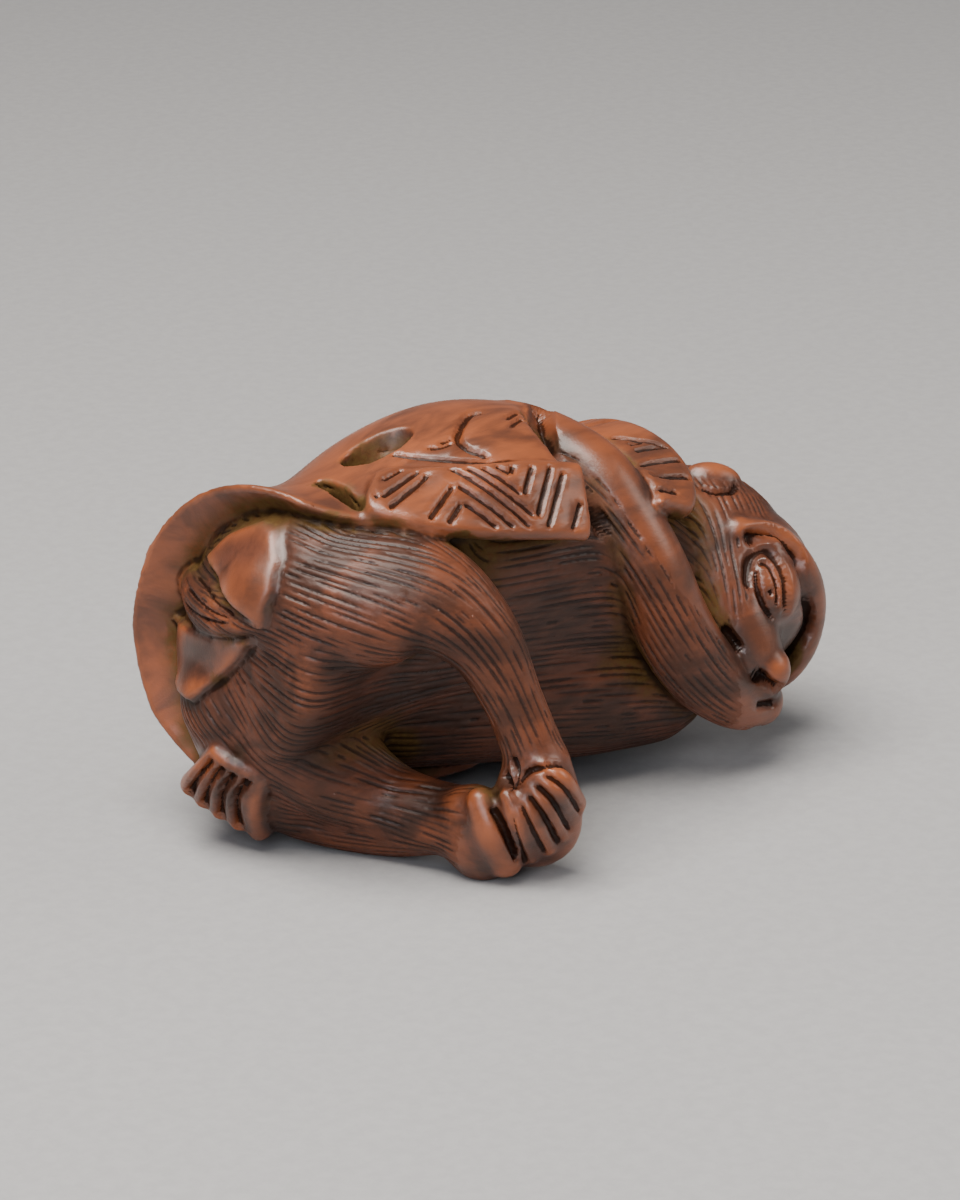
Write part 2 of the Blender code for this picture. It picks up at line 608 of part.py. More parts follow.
def face_strokes():
    """The deep furrow under the fringe, the socket, eyelids, pupil and mouth, on both sides of the face."""
    brow = ((17.6, 6.2, 5.2), (18.5, 6.4, 5.1), (19.7, 6.3, 5.1), (20.8, 5.9, 5.5), (21.6, 5.2, 6.5), (21.7, 5.1, 7.2), (21.6, 4.8, 7.9),
            (21.7, 4.2, 8.5), (22.0, 3.4, 8.9), (22.4, 2.5, 9.1), (23.0, 1.1, 9.3), (23.3, -0.1, 9.3), (23.1, -1.2, 9.8))
    socket = ((17.0, 4.6, 8.4), (16.8, 5.0, 7.6), (17.3, 5.1, 6.7), (18.1, 5.4, 6.1), (19.0, 5.9, 6.2), (19.4, 6.0, 7.2), (19.4, 5.5, 8.5),
              (19.2, 4.4, 9.7), (19.4, 2.6, 10.3))
    lower_lid = ((17.7, 5.5, 6.9), (17.3, 4.7, 8.0), (17.4, 4.0, 9.2), (18.1, 3.2, 10.1))
    upper_lid = ((17.9, 5.5, 6.7), (18.5, 5.8, 7.2), (18.6, 5.5, 8.2), (18.5, 4.8, 9.2), (18.3, 3.7, 9.9))
    pupil = ((17.95, 4.95, 8.7), (18.05, 4.65, 9.1))
    mouth = ((14.2, 2.6, 8.8), (14.8, 2.2, 9.4), (15.1, 1.8, 10.9))
    under_ear = ((17.4, 6.6, 0.0), (18.2, 6.8, 1.0), (19.5, 6.8, 1.3), (20.8, 6.4, 0.7))
    cuts = ((brow, 1.5, 0.95, 0.08), (socket, 1.1, 0.5, 0.12), (lower_lid, 0.6, 0.4, 0.15), (upper_lid, 0.7, 0.45, 0.15), (pupil, 0.7, 0.35, 0.1),
            (mouth, 0.9, 0.7, 0.25), (under_ear, 0.8, 0.6, 0.2))
    return [(side, width, depth, taper) for route, width, depth, taper in cuts for side in both_sides(route)]


def other_strokes():
    """The hollow behind the clenched hand, the armholes, the marks on the coat, and the lines between toes and fingers."""
    hand = [(((15.6, 0.8, 12.0), (16.8, 0.1, 12.8), (18.2, -0.6, 13.2)), 1.2, 0.95, 0.25),
            (((15.9, -1.3, 13.3), (18.3, -2.0, 13.2)), 0.8, 0.5, 0.2), (((15.6, -3.4, 13.4), (18.0, -3.9, 13.2)), 0.8, 0.5, 0.2)]
    armhole = ((6.0, 10.6, -6.6), (5.2, 11.4, -5.6), (4.1, 11.8, -4.4), (3.4, 11.9, -2.9), (3.0, 12.0, -1.4), (2.7, 12.1, 0.6), (2.8, 11.8, 3.0))
    scroll = ((0.3, 12.8, -6.0), (-1.1, 12.4, -6.3), (-2.8, 12.8, -5.4), (-4.0, 12.9, -4.3), (-4.1, 13.2, -3.1), (-3.7, 13.5, -2.4), (-3.4, 13.7, -1.6))
    marks = (((-6.5, 12.5, -4.8), (-5.5, 12.9, -4.3), (-4.1, 12.9, -4.3)), ((-5.5, 12.8, -4.6), (-3.9, 12.9, -4.7)),
             ((0.2, 13.3, -4.7), (2.9, 12.3, -5.7)), ((-0.4, 13.6, -3.7), (3.4, 11.6, -5.2)))
    crease = ((-8.8, 9.6, -7.4), (-8.0, 11.6, -5.4), (-6.8, 12.8, -3.7), (-4.3, 13.6, -1.8), (-1.5, 14.0, -0.8))
    arm_side = ((3.0, 12.4, -0.6), (3.4, 11.9, 0.4), (3.9, 11.0, 1.7), (4.3, 10.0, 2.9), (4.5, 9.0, 3.9))
    strokes = hand + [(side, 1.8, 1.3, 0.1) for side in both_sides(armhole)] + [(arm_side, 1.6, 0.9, 0.3)]
    strokes += [(side, 0.8, 0.5, 0.15) for side in both_sides(scroll)]
    strokes += [(side, 0.6, 0.3, 0.3) for mark in (*marks, crease) for side in both_sides(mark)]
    strokes += [(toe_line(k / 4, 0.8), 0.8, 0.6, 0.12) for k in range(5)]
    for k in range(4):
        share = (k + 0.5) / 4
        between_fingers = ((-20.6 + 1.8 * share ** 1.5, -6.4, 0.3 + 2.9 * share), (-20.9 + 1.9 * share ** 1.5, -8.8, -0.2 + 3.6 * share),
                           (-19.9 + 2.2 * share ** 1.5, -11.6, -1.2 + 5.0 * share))
        strokes.append((between_fingers, 0.9, 0.75, 0.1))
    strokes.append((((-10.3, 0.1, 14.9), (-9.7, -1.2, 16.4), (-8.6, -3.2, 17.5)), 0.7, 0.6, 0.1))
    strokes.append((((-8.8, 1.4, 13.7), (-9.1, 1.5, 14.6), (-9.4, 1.6, 15.3)), 0.9, 0.7, 0.1))
    strokes.append((((-9.4, 1.6, 15.3), (-8.7, 2.3, 14.5), (-8.7, 2.8, 13.6)), 0.8, 0.6, 0.1))
    strokes.append((((-9.3, 1.6, 15.3), (-8.6, 2.8, 15.1), (-7.8, 3.5, 15.6), (-6.3, 3.2, 16.3), (-5.6, 2.5, 16.9)), 0.7, 0.5, 0.1))
    for k in (-1, 0, 1):
        strokes.append((((-18.4, 0.1 + k * 0.9, -8.2), (-20.2, 2.4 + k * 0.6, -4.2), (-21.0, 4.4 + k * 0.2, -1.4)), 0.4, 0.22, 0.2))
    return strokes


SEAT_PADS = (
    ((3.0, -8.2), (6.0, -7.4), (8.8, -5.6), (9.4, -4.2), (8.9, -2.2), (7.6, -0.7), (5.3, 0.1), (4.6, -3.0)),
    ((-3.7, -9.2), (-1.2, -6.0), (0.6, -3.6), (3.6, -0.3), (0.1, -1.2), (-4.3, -2.5), (-6.0, -6.0)),
)


def carved_mesh():
    flesh = as_solid(fused("flesh", [trunk(), chest(), *legs(), *feet()], FLESH_VOXEL, 12))
    dressed = [flesh, coat(), *front_bands(), collar(), *arms(), *left_hand(), *head(), *toes()]
    whole = fused("dressed", dressed, FINAL_VOXEL, 3)
    raise_pads(whole, SEAT_PADS, 0.55, 0.3)
    whole = cut_out(whole, [cord_channel()])
    whole = fused("monkey", [as_solid(whole), tail()], FINAL_VOXEL, 1)
    carve(whole, fret_strokes() + face_strokes() + other_strokes())
    return whole


def boxwood():
    material = bpy.data.materials.new("Stained boxwood")
    material.use_nodes = True
    shader = material.node_tree.nodes["Principled BSDF"]
    shader.inputs["Base Color"].default_value = (0.12, 0.04, 0.018, 1.0)
    shader.inputs["Roughness"].default_value = 0.42
    shader.inputs["Metallic"].default_value = 0.0
    return material


def rested(mesh):
    """Laid on its side, cut flat where it rests, centred and scaled to metres."""
    mesh.transform(Matrix.Rotation(math.radians(ROLL_DEG), 4, "X"))
    bm = bmesh.new()
    bm.from_mesh(mesh)
    floor = min(v.co.z for v in bm.verts) + REST_FLAT
    cut = bmesh.ops.bisect_plane(bm, geom=[*bm.verts, *bm.edges, *bm.faces], plane_co=(0, 0, floor), plane_no=(0, 0, 1), clear_inner=True)
    bmesh.ops.holes_fill(bm, edges=[e for e in bm.edges if e.is_boundary])
    low = [min(v.co[i] for v in bm.verts) for i in range(3)]
    high = [max(v.co[i] for v in bm.verts) for i in range(3)]
    scale = FIGURE_LENGTH / (high[0] - low[0])
    bm.transform(Matrix.Scale(scale, 4) @ Matrix.Translation((-(low[0] + high[0]) / 2, -(low[1] + high[1]) / 2, -floor)))
    bm.to_mesh(mesh)
    bm.free()


def thinned(mesh, faces_kept):
    """The same skin in fewer triangles, worked at the size at which the figure is laid out."""
    block = bpy.data.objects.new("thinned", mesh)
    bpy.context.scene.collection.objects.link(block)
    fewer = block.modifiers.new("Fewer", "DECIMATE")
    fewer.ratio = faces_kept / (2.0 * len(mesh.polygons))
    fewer.use_collapse_triangulate = True
    graph = bpy.context.evaluated_depsgraph_get()
    made = bpy.data.meshes.new_from_object(block.evaluated_get(graph))
    bpy.data.objects.remove(block)
    bpy.data.meshes.remove(mesh)
    return made


def main():
    for old in list(bpy.data.objects):
        bpy.data.objects.remove(old)
    mesh = thinned(carved_mesh(), FACES_KEPT)
    rested(mesh)
    mesh.name = "carved_monkey"
    monkey = bpy.data.objects.new("carved_monkey", mesh)
    bpy.context.scene.collection.objects.link(monkey)
    mesh.materials.clear()
    mesh.materials.append(boxwood())


main()
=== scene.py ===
"""A netsuke: a monkey in a sleeveless coat, carved in boxwood, stained and polished.

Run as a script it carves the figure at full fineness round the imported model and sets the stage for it.
"""

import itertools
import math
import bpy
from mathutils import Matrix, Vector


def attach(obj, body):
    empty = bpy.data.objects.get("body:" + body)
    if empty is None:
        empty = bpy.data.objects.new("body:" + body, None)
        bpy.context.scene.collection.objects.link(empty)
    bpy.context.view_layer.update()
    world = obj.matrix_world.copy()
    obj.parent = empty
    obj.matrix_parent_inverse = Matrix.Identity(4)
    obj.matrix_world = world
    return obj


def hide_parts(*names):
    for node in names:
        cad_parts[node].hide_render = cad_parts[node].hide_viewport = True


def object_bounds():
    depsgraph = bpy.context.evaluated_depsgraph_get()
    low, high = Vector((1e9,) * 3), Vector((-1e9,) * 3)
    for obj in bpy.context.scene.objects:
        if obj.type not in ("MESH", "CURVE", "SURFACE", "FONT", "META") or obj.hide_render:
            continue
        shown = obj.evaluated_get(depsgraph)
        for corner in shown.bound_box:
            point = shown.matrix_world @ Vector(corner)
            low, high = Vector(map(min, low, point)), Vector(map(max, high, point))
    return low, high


bl_info = {
    "name": "Boxwood monkey netsuke",
    "version": (1, 0, 0),
    "blender": (4, 5, 0),
    "location": "View3D > Sidebar > Netsuke",
    "description": "Carves and finishes a lying monkey in stained boxwood, and sets a plain stage for it",
    "category": "Add Mesh",
}

import bmesh
import bpy
import numpy as np
from mathutils import Matrix, Vector
from mathutils.bvhtree import BVHTree
from mathutils.kdtree import KDTree

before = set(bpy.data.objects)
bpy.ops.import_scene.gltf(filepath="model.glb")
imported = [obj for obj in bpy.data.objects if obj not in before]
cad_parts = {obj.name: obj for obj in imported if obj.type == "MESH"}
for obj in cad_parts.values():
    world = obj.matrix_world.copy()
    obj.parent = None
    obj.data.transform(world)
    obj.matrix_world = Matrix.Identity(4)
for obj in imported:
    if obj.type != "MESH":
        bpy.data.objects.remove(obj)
CAD_BOX = [list(corner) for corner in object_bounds()]

# The figure is laid out in its own frame, in millimetres: x runs from the seat to the crown,
# y to the monkey's right and z to its front
FIGURE_LENGTH = CAD_BOX[1][0] - CAD_BOX[0][0]
ROLL_DEG = 120.0
FLESH_VOXEL = 0.3
FINAL_VOXEL = 0.2
REST_FLAT = 0.25

# The coat's hem, front bands, collar and key fret, and the cord holes in it
HEM_BEVEL = 2.4
BAND_WIDTH = 5.4
BAND_THICKNESS = 0.8
COLLAR_WIDTH = 5.0
CORD_HOLE = 1.5
FRET_WIDTH = 0.6
FRET_DEPTH = 0.36
# The key fret: nested chevrons with long falling and short rising sides, in mm along for each mm across
FRET_SPACING = 1.6
FRET_LINES = 1.3
FRET_FALL = 1.16
FRET_RISE = 0.56
FRET_PERIOD = 10.1
FRET_START = 1.0
FRET_THIN = 0.5


def smoothstep(low, high, value):
    share = np.clip((value - low) / (high - low), 0.0, 1.0)
    return share * share * (3.0 - 2.0 * share)


def curve_through(rows, per_span):
    """Catmull-Rom interpolation of equal-length rows of numbers."""
    rows = np.array(rows, float)
    padded = np.vstack([2 * rows[0] - rows[1], rows, 2 * rows[-1] - rows[-2]])
    out = []
    for i in range(1, len(padded) - 2):
        a, b, c, d = padded[i - 1:i + 3]
        for k in range(per_span):
            t = k / per_span
            out.append(0.5 * (2 * b + (c - a) * t + (2 * a - 5 * b + 4 * c - d) * t ** 2
                              + (3 * b - a - 3 * c + d) * t ** 3))
    out.append(padded[-2])
    return np.array(out)


def solid_from_rings(rings):
    """Points and faces of a closed solid whose skin runs through rings of equal count."""
    count = len(rings[0])
    points = [tuple(p) for ring in rings for p in ring]
    faces = []
    for i in range(len(rings) - 1):
        for j in range(count):
            k = (j + 1) % count
            faces.append((i * count + j, i * count + k, (i + 1) * count + k, (i + 1) * count + j))
    for ring, start in ((rings[0], 0), (rings[-1], (len(rings) - 1) * count)):
        middle = len(points)
        points.append(tuple(np.mean(ring, axis=0)))
        for j in range(count):
            k = (j + 1) % count
            faces.append((middle, start + k, start + j) if start == 0 else (middle, start + j, start + k))
    return points, faces


def whole_turn(count):
    """Angles at even steps once round."""
    return np.arange(count) * 2 * math.pi / count


def limb(stations, outward, sides=24):
    """A rounded limb: each station is x, y, z, half width, half thickness."""
    rows = curve_through(stations, 6)
    centres, sizes = rows[:, :3], np.maximum(rows[:, 3:5], 0.05)
    tangents = np.gradient(centres, axis=0)
    tangents /= np.linalg.norm(tangents, axis=1)[:, None]
    outward = np.array(outward, float)
    angles = whole_turn(sides)
    cos, sin = np.cos(angles), np.sin(angles)

    def ring(centre, tangent, half_width, half_thickness):
        normal = outward - tangent * (outward @ tangent)
        normal /= np.linalg.norm(normal)
        side = np.cross(tangent, normal)
        return centre + np.outer(cos * half_width, side) + np.outer(sin * half_thickness, normal)

    def rounded_end(end, outwards, turns):
        """Rings that close an end of the limb in a quarter of a circle."""
        length = sizes[end].min() * outwards
        return [ring(centres[end] + tangents[end] * length * math.sin(turn), tangents[end],
                     *(sizes[end] * math.cos(turn))) for turn in turns]

    quarter = [(math.pi / 2) * k / 4 for k in range(1, 4)]
    rings = rounded_end(0, -1, quarter[::-1])
    rings += [ring(c, t, *s) for c, t, s in zip(centres, tangents, sizes)]
    rings += rounded_end(-1, 1, quarter)
    return solid_from_rings(rings)


def ball(centre, radii, turn=0.0):
    """An ellipsoid turned about the y axis, in degrees."""
    bm = bmesh.new()
    bmesh.ops.create_uvsphere(bm, u_segments=32, v_segments=20, radius=1.0)
    rotation = Matrix.Rotation(math.radians(turn), 4, "Y")
    bm.transform(Matrix.Translation(centre) @ rotation @ Matrix.Diagonal((*radii, 1.0)))
    points = [tuple(v.co) for v in bm.verts]
    faces = [tuple(v.index for v in f.verts) for f in bm.faces]
    bm.free()
    return points, faces


# Trunk, seat to neck: x, middle y, middle z, half width, half depth to the front and to the back
TRUNK = (
    (-19.9, 0.5, 0.0, 2.5, 2.5, 2.5),
    (-19.5, 0.5, -0.5, 6.5, 5.0, 5.0),
    (-17.8, 0.5, -1.0, 9.6, 6.3, 8.0),
    (-14.0, 0.5, -1.2, 10.4, 6.4, 9.2),
    (-7.0, 0.5, -1.2, 11.6, 6.2, 10.4),
    (1.0, 0.5, -1.2, 11.8, 7.2, 10.4),
    (7.0, 0.5, -1.0, 10.2, 8.2, 9.8),
    (11.0, 0.3, -0.5, 8.2, 8.2, 8.4),
    (14.0, 0.2, 0.5, 6.4, 6.6, 7.0),
    (17.0, 0.0, 1.5, 5.0, 5.0, 5.5),
)
# Outside of the coat, the same way
COAT = (
    (-21.0, 0.5, -1.2, 12.8, 10.0, 11.4),
    (-18.6, 0.5, -1.2, 11.9, 9.0, 10.6),
    (-15.0, 0.5, -1.2, 11.1, 8.0, 9.9),
    (-11.5, 0.5, -1.2, 11.4, 7.6, 10.2),
    (-6.0, 0.5, -1.2, 12.8, 7.6, 12.0),
    (-1.0, 0.5, -1.2, 13.4, 8.0, 12.8),
    (3.0, 0.5, -1.2, 12.9, 8.6, 12.4),
    (7.0, 0.5, -1.0, 11.5, 9.2, 11.3),
    (10.0, 0.3, -0.6, 9.8, 9.0, 9.8),
    (14.0, 0.1, 0.2, 7.6, 7.8, 8.2),
    (18.0, 0.0, 1.0, 6.6, 6.6, 7.0),
)


def table_row(table, x):
    return [np.interp(x, table[:, 0], table[:, i]) for i in range(1, 6)]


SMOOTH_TRUNK = curve_through(TRUNK, 8)
SMOOTH_COAT = curve_through(COAT, 8)


def skin_point(table, x, angle, extra=0.0):
    """A point of the trunk or coat at x, at an angle from the right side (0) to the front (90 degrees)."""
    yc, zc, wide, front, back = table_row(table, x)
    depth = np.where(np.sin(angle) >= 0, front, back)
    sideways, forwards = (wide + extra) * np.cos(angle), (depth + extra) * np.sin(angle)
    return np.stack([x + 0 * angle, yc + sideways, zc + forwards], -1)


def trunk():
    angles = whole_turn(64)
    return solid_from_rings([skin_point(SMOOTH_TRUNK, x, angles) for x in SMOOTH_TRUNK[:, 0]])


# Hem of the coat: x by angle round the trunk in degrees (0 right, 90 front, -90 back, 180 left)
HEM = (
    (-180, -17.9), (-150, -19.4), (-120, -19.8), (-90, -19.6), (-60, -19.0), (-35, -18.2), (-15, -17.2),
    (-6, -15.6), (-1, -14.1), (5, -13.1), (12, -12.0), (18, -10.4), (24, -9.0), (40, -8.0), (90, -8.0),
    (140, -8.0), (158, -10.0), (168, -14.0), (180, -17.9),
)
# Front edge of the coat: degrees from the right side by x, the left side the same
EDGE = (
    (-20.0, 8.0), (-12.0, 12.0), (-10.2, 19.0), (-8.8, 24.0), (-4.0, 30.0), (1.0, 35.0), (2.5, 27.0),
    (9.0, 26.0), (11.5, 22.0), (13.0, 4.0), (16.0, -20.0),
)


def coat():
    degrees = np.arange(240) * 1.5 - 180.0
    angles = np.radians(degrees)
    hem = np.interp(degrees, *np.array(HEM).T)
    from_front = np.abs(degrees - 90.0)
    from_front = np.minimum(from_front, 360 - from_front)

    def ring(x, extra):
        edge = np.interp(x, *np.array(EDGE).T)
        covered = smoothstep(88.8 - edge, 91.2 - edge, from_front)
        for middle in (3.0, 177.0):
            apart = np.abs((degrees - middle + 180.0) % 360.0 - 180.0)
            covered = covered * smoothstep(0.95, 1.05, np.hypot((x - 8.5) / 6.8, apart / 36.0))
        return skin_point(SMOOTH_COAT, x, angles, extra * covered - 2.2 * (1 - covered))

    def drawn_in(points, share):
        middle = points.mean(axis=0)
        return middle + (points - middle) * np.array([1.0, share, share])

    inside = [drawn_in(ring(hem + HEM_BEVEL * 1.1, -1.6), share) for share in (0.15, 0.5, 0.85)]
    steps = ((1, -2.1), (0.62, -1.5), (0.3, -0.75), (0, -0.15))
    bevel = [ring(hem + HEM_BEVEL * share, extra) for share, extra in steps]
    lengths = np.linspace(0.0, 1.0, 64) ** 1.2
    outside = [ring(hem + 0.2 + share * (14.0 - hem), 0.25 * math.exp(-share * 20)) for share in lengths]
    neck = [drawn_in(ring(14.6 + 0 * hem, -0.5), share) for share in (0.9, 0.6, 0.2)]
    return solid_from_rings(inside + bevel + outside + neck)


def laid_on_coat(route, lift=0.0):
    """Middle points, sideways and outward directions along a route of x and degrees on the coat."""
    rows = curve_through(route, 10)
    angles = np.radians(rows[:, 1])

    def lifted(extra):
        return np.array([skin_point(SMOOTH_COAT, x, np.array(a), extra) for x, a in zip(rows[:, 0], angles)])

    middles = lifted(lift)
    normals = lifted(lift + 1.0) - middles
    normals /= np.linalg.norm(normals, axis=1)[:, None]
    tangents = np.gradient(middles, axis=0)
    tangents /= np.linalg.norm(tangents, axis=1)[:, None]
    sides = np.cross(normals, tangents)
    sides /= np.linalg.norm(sides, axis=1)[:, None]
    return middles, sides, normals


def strap(route, width, thickness, lift, end_widths=(1.0, 1.0)):
    """A flat strap laid on the coat, drawn in to a share of its width at each end."""
    middles, sides, normals = laid_on_coat(route, lift)
    around = np.arange(24) * 2 * math.pi / 24
    across = np.sign(np.cos(around)) * np.abs(np.cos(around)) ** 0.5
    upward = np.sign(np.sin(around)) * np.abs(np.sin(around)) ** 0.6
    share = np.linspace(0.0, 1.0, len(middles))
    widths = width * (end_widths[0] + (1 - end_widths[0]) * smoothstep(0.0, 0.14, share))
    widths = widths * (end_widths[1] + (1 - end_widths[1]) * smoothstep(0.0, 0.14, 1.0 - share))
    return solid_from_rings([m + np.outer(across * w / 2, s) + np.outer(upward * thickness, n)
                             for m, s, n, w in zip(middles, sides, normals, widths)])


# Middle lines of the right band and of the collar: x, and degrees round the coat
BAND_ROUTE = (
    (-11.9, -12.0), (-11.4, -8.5), (-10.7, -4.0), (-9.3, 3.5), (-7.0, 12.5), (-4.5, 18.6), (-1.6, 23.4),
    (1.8, 27.0),
)
COLLAR_ROUTE = (
    (8.4, 26.0), (10.0, 18.5), (11.4, 10.0), (12.4, -6.0), (12.7, -30.0), (12.6, -60.0), (12.5, -90.0),
    (12.6, -120.0), (12.7, -150.0), (12.4, -174.0), (11.4, -190.0), (10.0, -198.5), (8.4, -206.0),
)


def mirrored_route(route):
    return tuple((x, 180.0 - a) for x, a in route)


def front_bands():
    """The broad bands sewn along the coat's right and left front edges."""
    return [strap(route, BAND_WIDTH, BAND_THICKNESS, 0.1, (0.75, 1.0))
            for route in (BAND_ROUTE, mirrored_route(BAND_ROUTE))]


def collar():
    return strap(COLLAR_ROUTE, COLLAR_WIDTH, 1.2, 0.5, (0.1, 0.1))


# Limbs from the trunk outwards: x, y, z, half width, half thickness
RIGHT_LEG = (
    (-15.5, 4.5, -2.0, 5.5, 5.0),
    (-14.2, 7.2, 1.5, 5.0, 4.6),
    (-11.5, 9.2, 4.2, 4.4, 3.5),
    (-9.2, 8.2, 7.6, 2.9, 2.6),
    (-7.6, 5.2, 10.8, 2.1, 2.0),
    (-6.6, 2.6, 13.4, 2.1, 2.0),
)
LEFT_LEG = (
    (-15.5, -4.5, -2.0, 5.5, 5.0),
    (-14.4, -8.1, 1.0, 4.8, 4.45),
    (-12.2, -9.7, 4.0, 3.9, 2.7),
    (-10.5, -7.9, 8.2, 3.0, 2.6),
    (-9.6, -5.0, 11.6, 2.6, 2.3),
    (-9.2, -3.0, 14.0, 2.4, 2.2),
)
RIGHT_ARM = (
    (3.6, 8.6, -6.6, 3.0, 2.4),
    (5.2, 9.8, -4.2, 2.7, 2.3),
    (6.6, 10.2, -0.8, 2.5, 2.3),
    (7.3, 9.0, 2.2, 2.6, 2.4),
    (8.3, 6.8, 5.4, 2.7, 2.5),
    (9.9, 3.4, 8.1, 2.8, 2.6),
    (12.9, -0.1, 10.0, 2.7, 2.5),
    (16.2, -2.3, 11.4, 2.4, 2.1),
    (18.3, -2.9, 12.0, 1.8, 1.6),
)
LEFT_ARM = (
    (10.6, -8.8, -2.2, 3.4, 3.0),
    (9.6, -12.2, -1.9, 3.1, 2.9),
    (7.6, -13.5, -1.8, 3.0, 2.8),
    (3.0, -13.3, -1.9, 2.8, 2.6),
    (-3.0, -13.3, -2.4, 2.4, 2.1),
    (-10.5, -13.0, -2.4, 2.3, 2.0),
    (-14.0, -12.4, -1.4, 2.8, 1.8),
)
CHEST = (
    (-6.0, -5.5, -0.5, 6.3, 5.8),
    (2.0, -5.2, 1.5, 6.5, 6.1),
    (8.5, -4.8, 3.6, 6.5, 6.1),
    (12.8, -4.6, 5.2, 5.6, 5.5),
)
TAIL = (
    (-16.8, -0.9, -9.6, 1.6, 1.2),
    (-19.2, 0.8, -6.0, 1.7, 1.1),
    (-20.2, 3.1, -2.8, 1.2, 0.9),
    (-20.3, 5.0, -0.4, 0.5, 0.6),
)


def legs():
    """Both legs drawn up, with the broad calf of the lower one pressed to its thigh."""
    calf = limb(((-15.5, -5.0, 1.5, 4.0, 4.0), (-13.2, -6.2, 4.6, 3.7, 3.4), (-11.2, -6.2, 8.0, 2.7, 2.4),
                 (-10.0, -4.6, 11.0, 2.0, 1.9)), (0.3, -1, 0.2))
    return [limb(RIGHT_LEG, (0.3, 1, 0.2)), limb(LEFT_LEG, (0.3, -1, 0.2)), calf]


def feet():
    return [
        limb(((-6.6, 2.0, 14.2, 2.3, 2.2), (-6.9, 0.6, 15.4, 2.9, 1.8), (-6.7, -2.0, 16.2, 3.3, 1.6),
              (-6.6, -3.8, 16.0, 2.9, 1.6)), (-0.6, 0.1, 0.8)),
        limb(((-9.4, -3.0, 13.4, 2.4, 2.3), (-9.4, -4.0, 14.4, 2.5, 2.1), (-8.8, -4.9, 15.2, 2.35, 1.85)),
             (-0.8, -0.1, 0.6)),
    ]


def toe_line(share, lift=0.0):
    """Root, knuckle and tip of a line over the foot, by its share of the way across from right to left."""
    arch = math.sin(math.pi * min(1.0, max(0.0, share)))
    return ((-8.2 - 1.7 * share, 3.4 - 2.6 * share, 15.0 + 0.5 * share + lift),
            (-7.0 - 2.4 * share, 2.9 - 3.8 * share, 16.4 + 0.5 * arch + lift),
            (-4.7 - 2.9 * share, 0.2 - 4.0 * share, 17.0 + 0.8 * arch + lift))


def toes():
    """Long toes side by side over the clasped soles, the big toe of the lower foot beside them."""
    parts = []
    for share in (-0.06, 0.125, 0.375, 0.625, 0.875):
        root, knuckle, tip = toe_line(share)
        root = (root[0] + 0.2, root[1] - 0.3, root[2] - 0.5)
        stations = ((*root, 0.4, 0.45), (*knuckle, 0.66, 0.85), (*tip, 0.62, 0.8))
        parts.append(limb(stations, (-0.4, 0.3, 0.8), 12))
    big_toe = ((-10.2, -0.5, 13.9, 0.9, 0.9), (-10.0, -1.8, 15.6, 1.35, 1.1), (-8.7, -4.0, 16.8, 1.25, 1.1))
    return [*parts, limb(big_toe, (-0.8, 0.1, 0.6), 16)]


def arms():
    """The right arm bent up to the face, the left one down the side that the figure lies on."""
    return [limb(RIGHT_ARM, (0.0, 0.8, 0.6)), limb(LEFT_ARM, (0.0, -1, 0.0))]


def left_hand():
    """Back of the hand laid on the hip, and five fingers with rounded tips."""
    back = ((-13.0, -12.2, -3.0, 2.6, 1.8), (-15.0, -12.0, -1.0, 3.0, 2.0), (-16.8, -11.0, 0.6, 2.8, 1.8),
            (-17.8, -9.2, 1.2, 2.2, 1.4))
    parts = [limb(back, (-0.4, -0.8, 0.3))]
    for k in range(5):
        share = k / 4
        tip = (-20.2 + 1.8 * share ** 1.5, -6.3, 0.5 + 2.9 * share)
        middle = (-20.2 + 1.9 * share ** 1.5, -8.6, 0.0 + 3.6 * share)
        root = (-19.3 + 2.2 * share ** 1.5, -11.2, -1.0 + 5.0 * share)
        stations = ((*tip, 0.6, 0.65), (*middle, 0.72, 0.85), (*root, 0.85, 0.95))
        parts.append(limb(stations, (-0.8, -0.5, 0.3), 12))
    return parts


def tail():
    return limb(TAIL, (-1, 0, -0.3))


def head():
    """Skull, the raised fringe over the brow, muzzle, cheeks and ears; the head droops to the left."""
    muzzle = limb(((17.2, 0.0, 2.5, 6.6, 6.2), (17.0, 0.0, 6.0, 5.6, 4.8), (17.1, -0.1, 8.6, 4.3, 3.6),
                   (17.4, -0.2, 10.4, 3.1, 2.6), (17.7, -0.3, 11.5, 2.1, 1.8)), (1, 0, 0.2))
    fringe = limb(((18.0, 5.9, 4.0, 1.2, 1.1), (20.8, 5.3, 5.4, 1.4, 1.3), (22.8, 3.4, 6.9, 1.5, 1.5),
                   (23.9, 0.9, 8.0, 1.6, 1.6), (23.7, -1.8, 9.0, 1.6, 1.6), (22.7, -4.0, 9.2, 1.5, 1.5),
                   (20.8, -5.4, 8.4, 1.4, 1.4), (18.6, -6.0, 6.6, 1.2, 1.1)), (0.3, 0, 1))
    skull = (ball((18.6, 0.0, 1.8), (7.2, 7.0, 7.4)), ball((19.9, 0.0, 4.4), (6.1, 6.5, 5.8)))
    parts = [*skull, fringe, muzzle]
    parts += [ball((19.3, 2.8, 6.2), (3.4, 3.2, 3.8)), ball((19.6, -3.1, 6.7), (3.6, 3.3, 3.9))]
    parts += [ball((19.8, 6.1 * side, -0.7), (2.1, 1.1, 1.1), -30.0) for side in (1, -1)]
    return parts


def chest():
    """The left breast and shoulder, on which the figure rests."""
    return limb(CHEST, (0, -0.3, 1))


def mesh_of(points, faces):
    """A mesh of those points and faces, with its normals turned outwards."""
    mesh = bpy.data.meshes.new("form")
    mesh.from_pydata([tuple(map(float, p)) for p in points], [], faces)
    bm = bmesh.new()
    bm.from_mesh(mesh)
    bmesh.ops.recalc_face_normals(bm, faces=bm.faces)
    bm.to_mesh(mesh)
    bm.free()
    return mesh


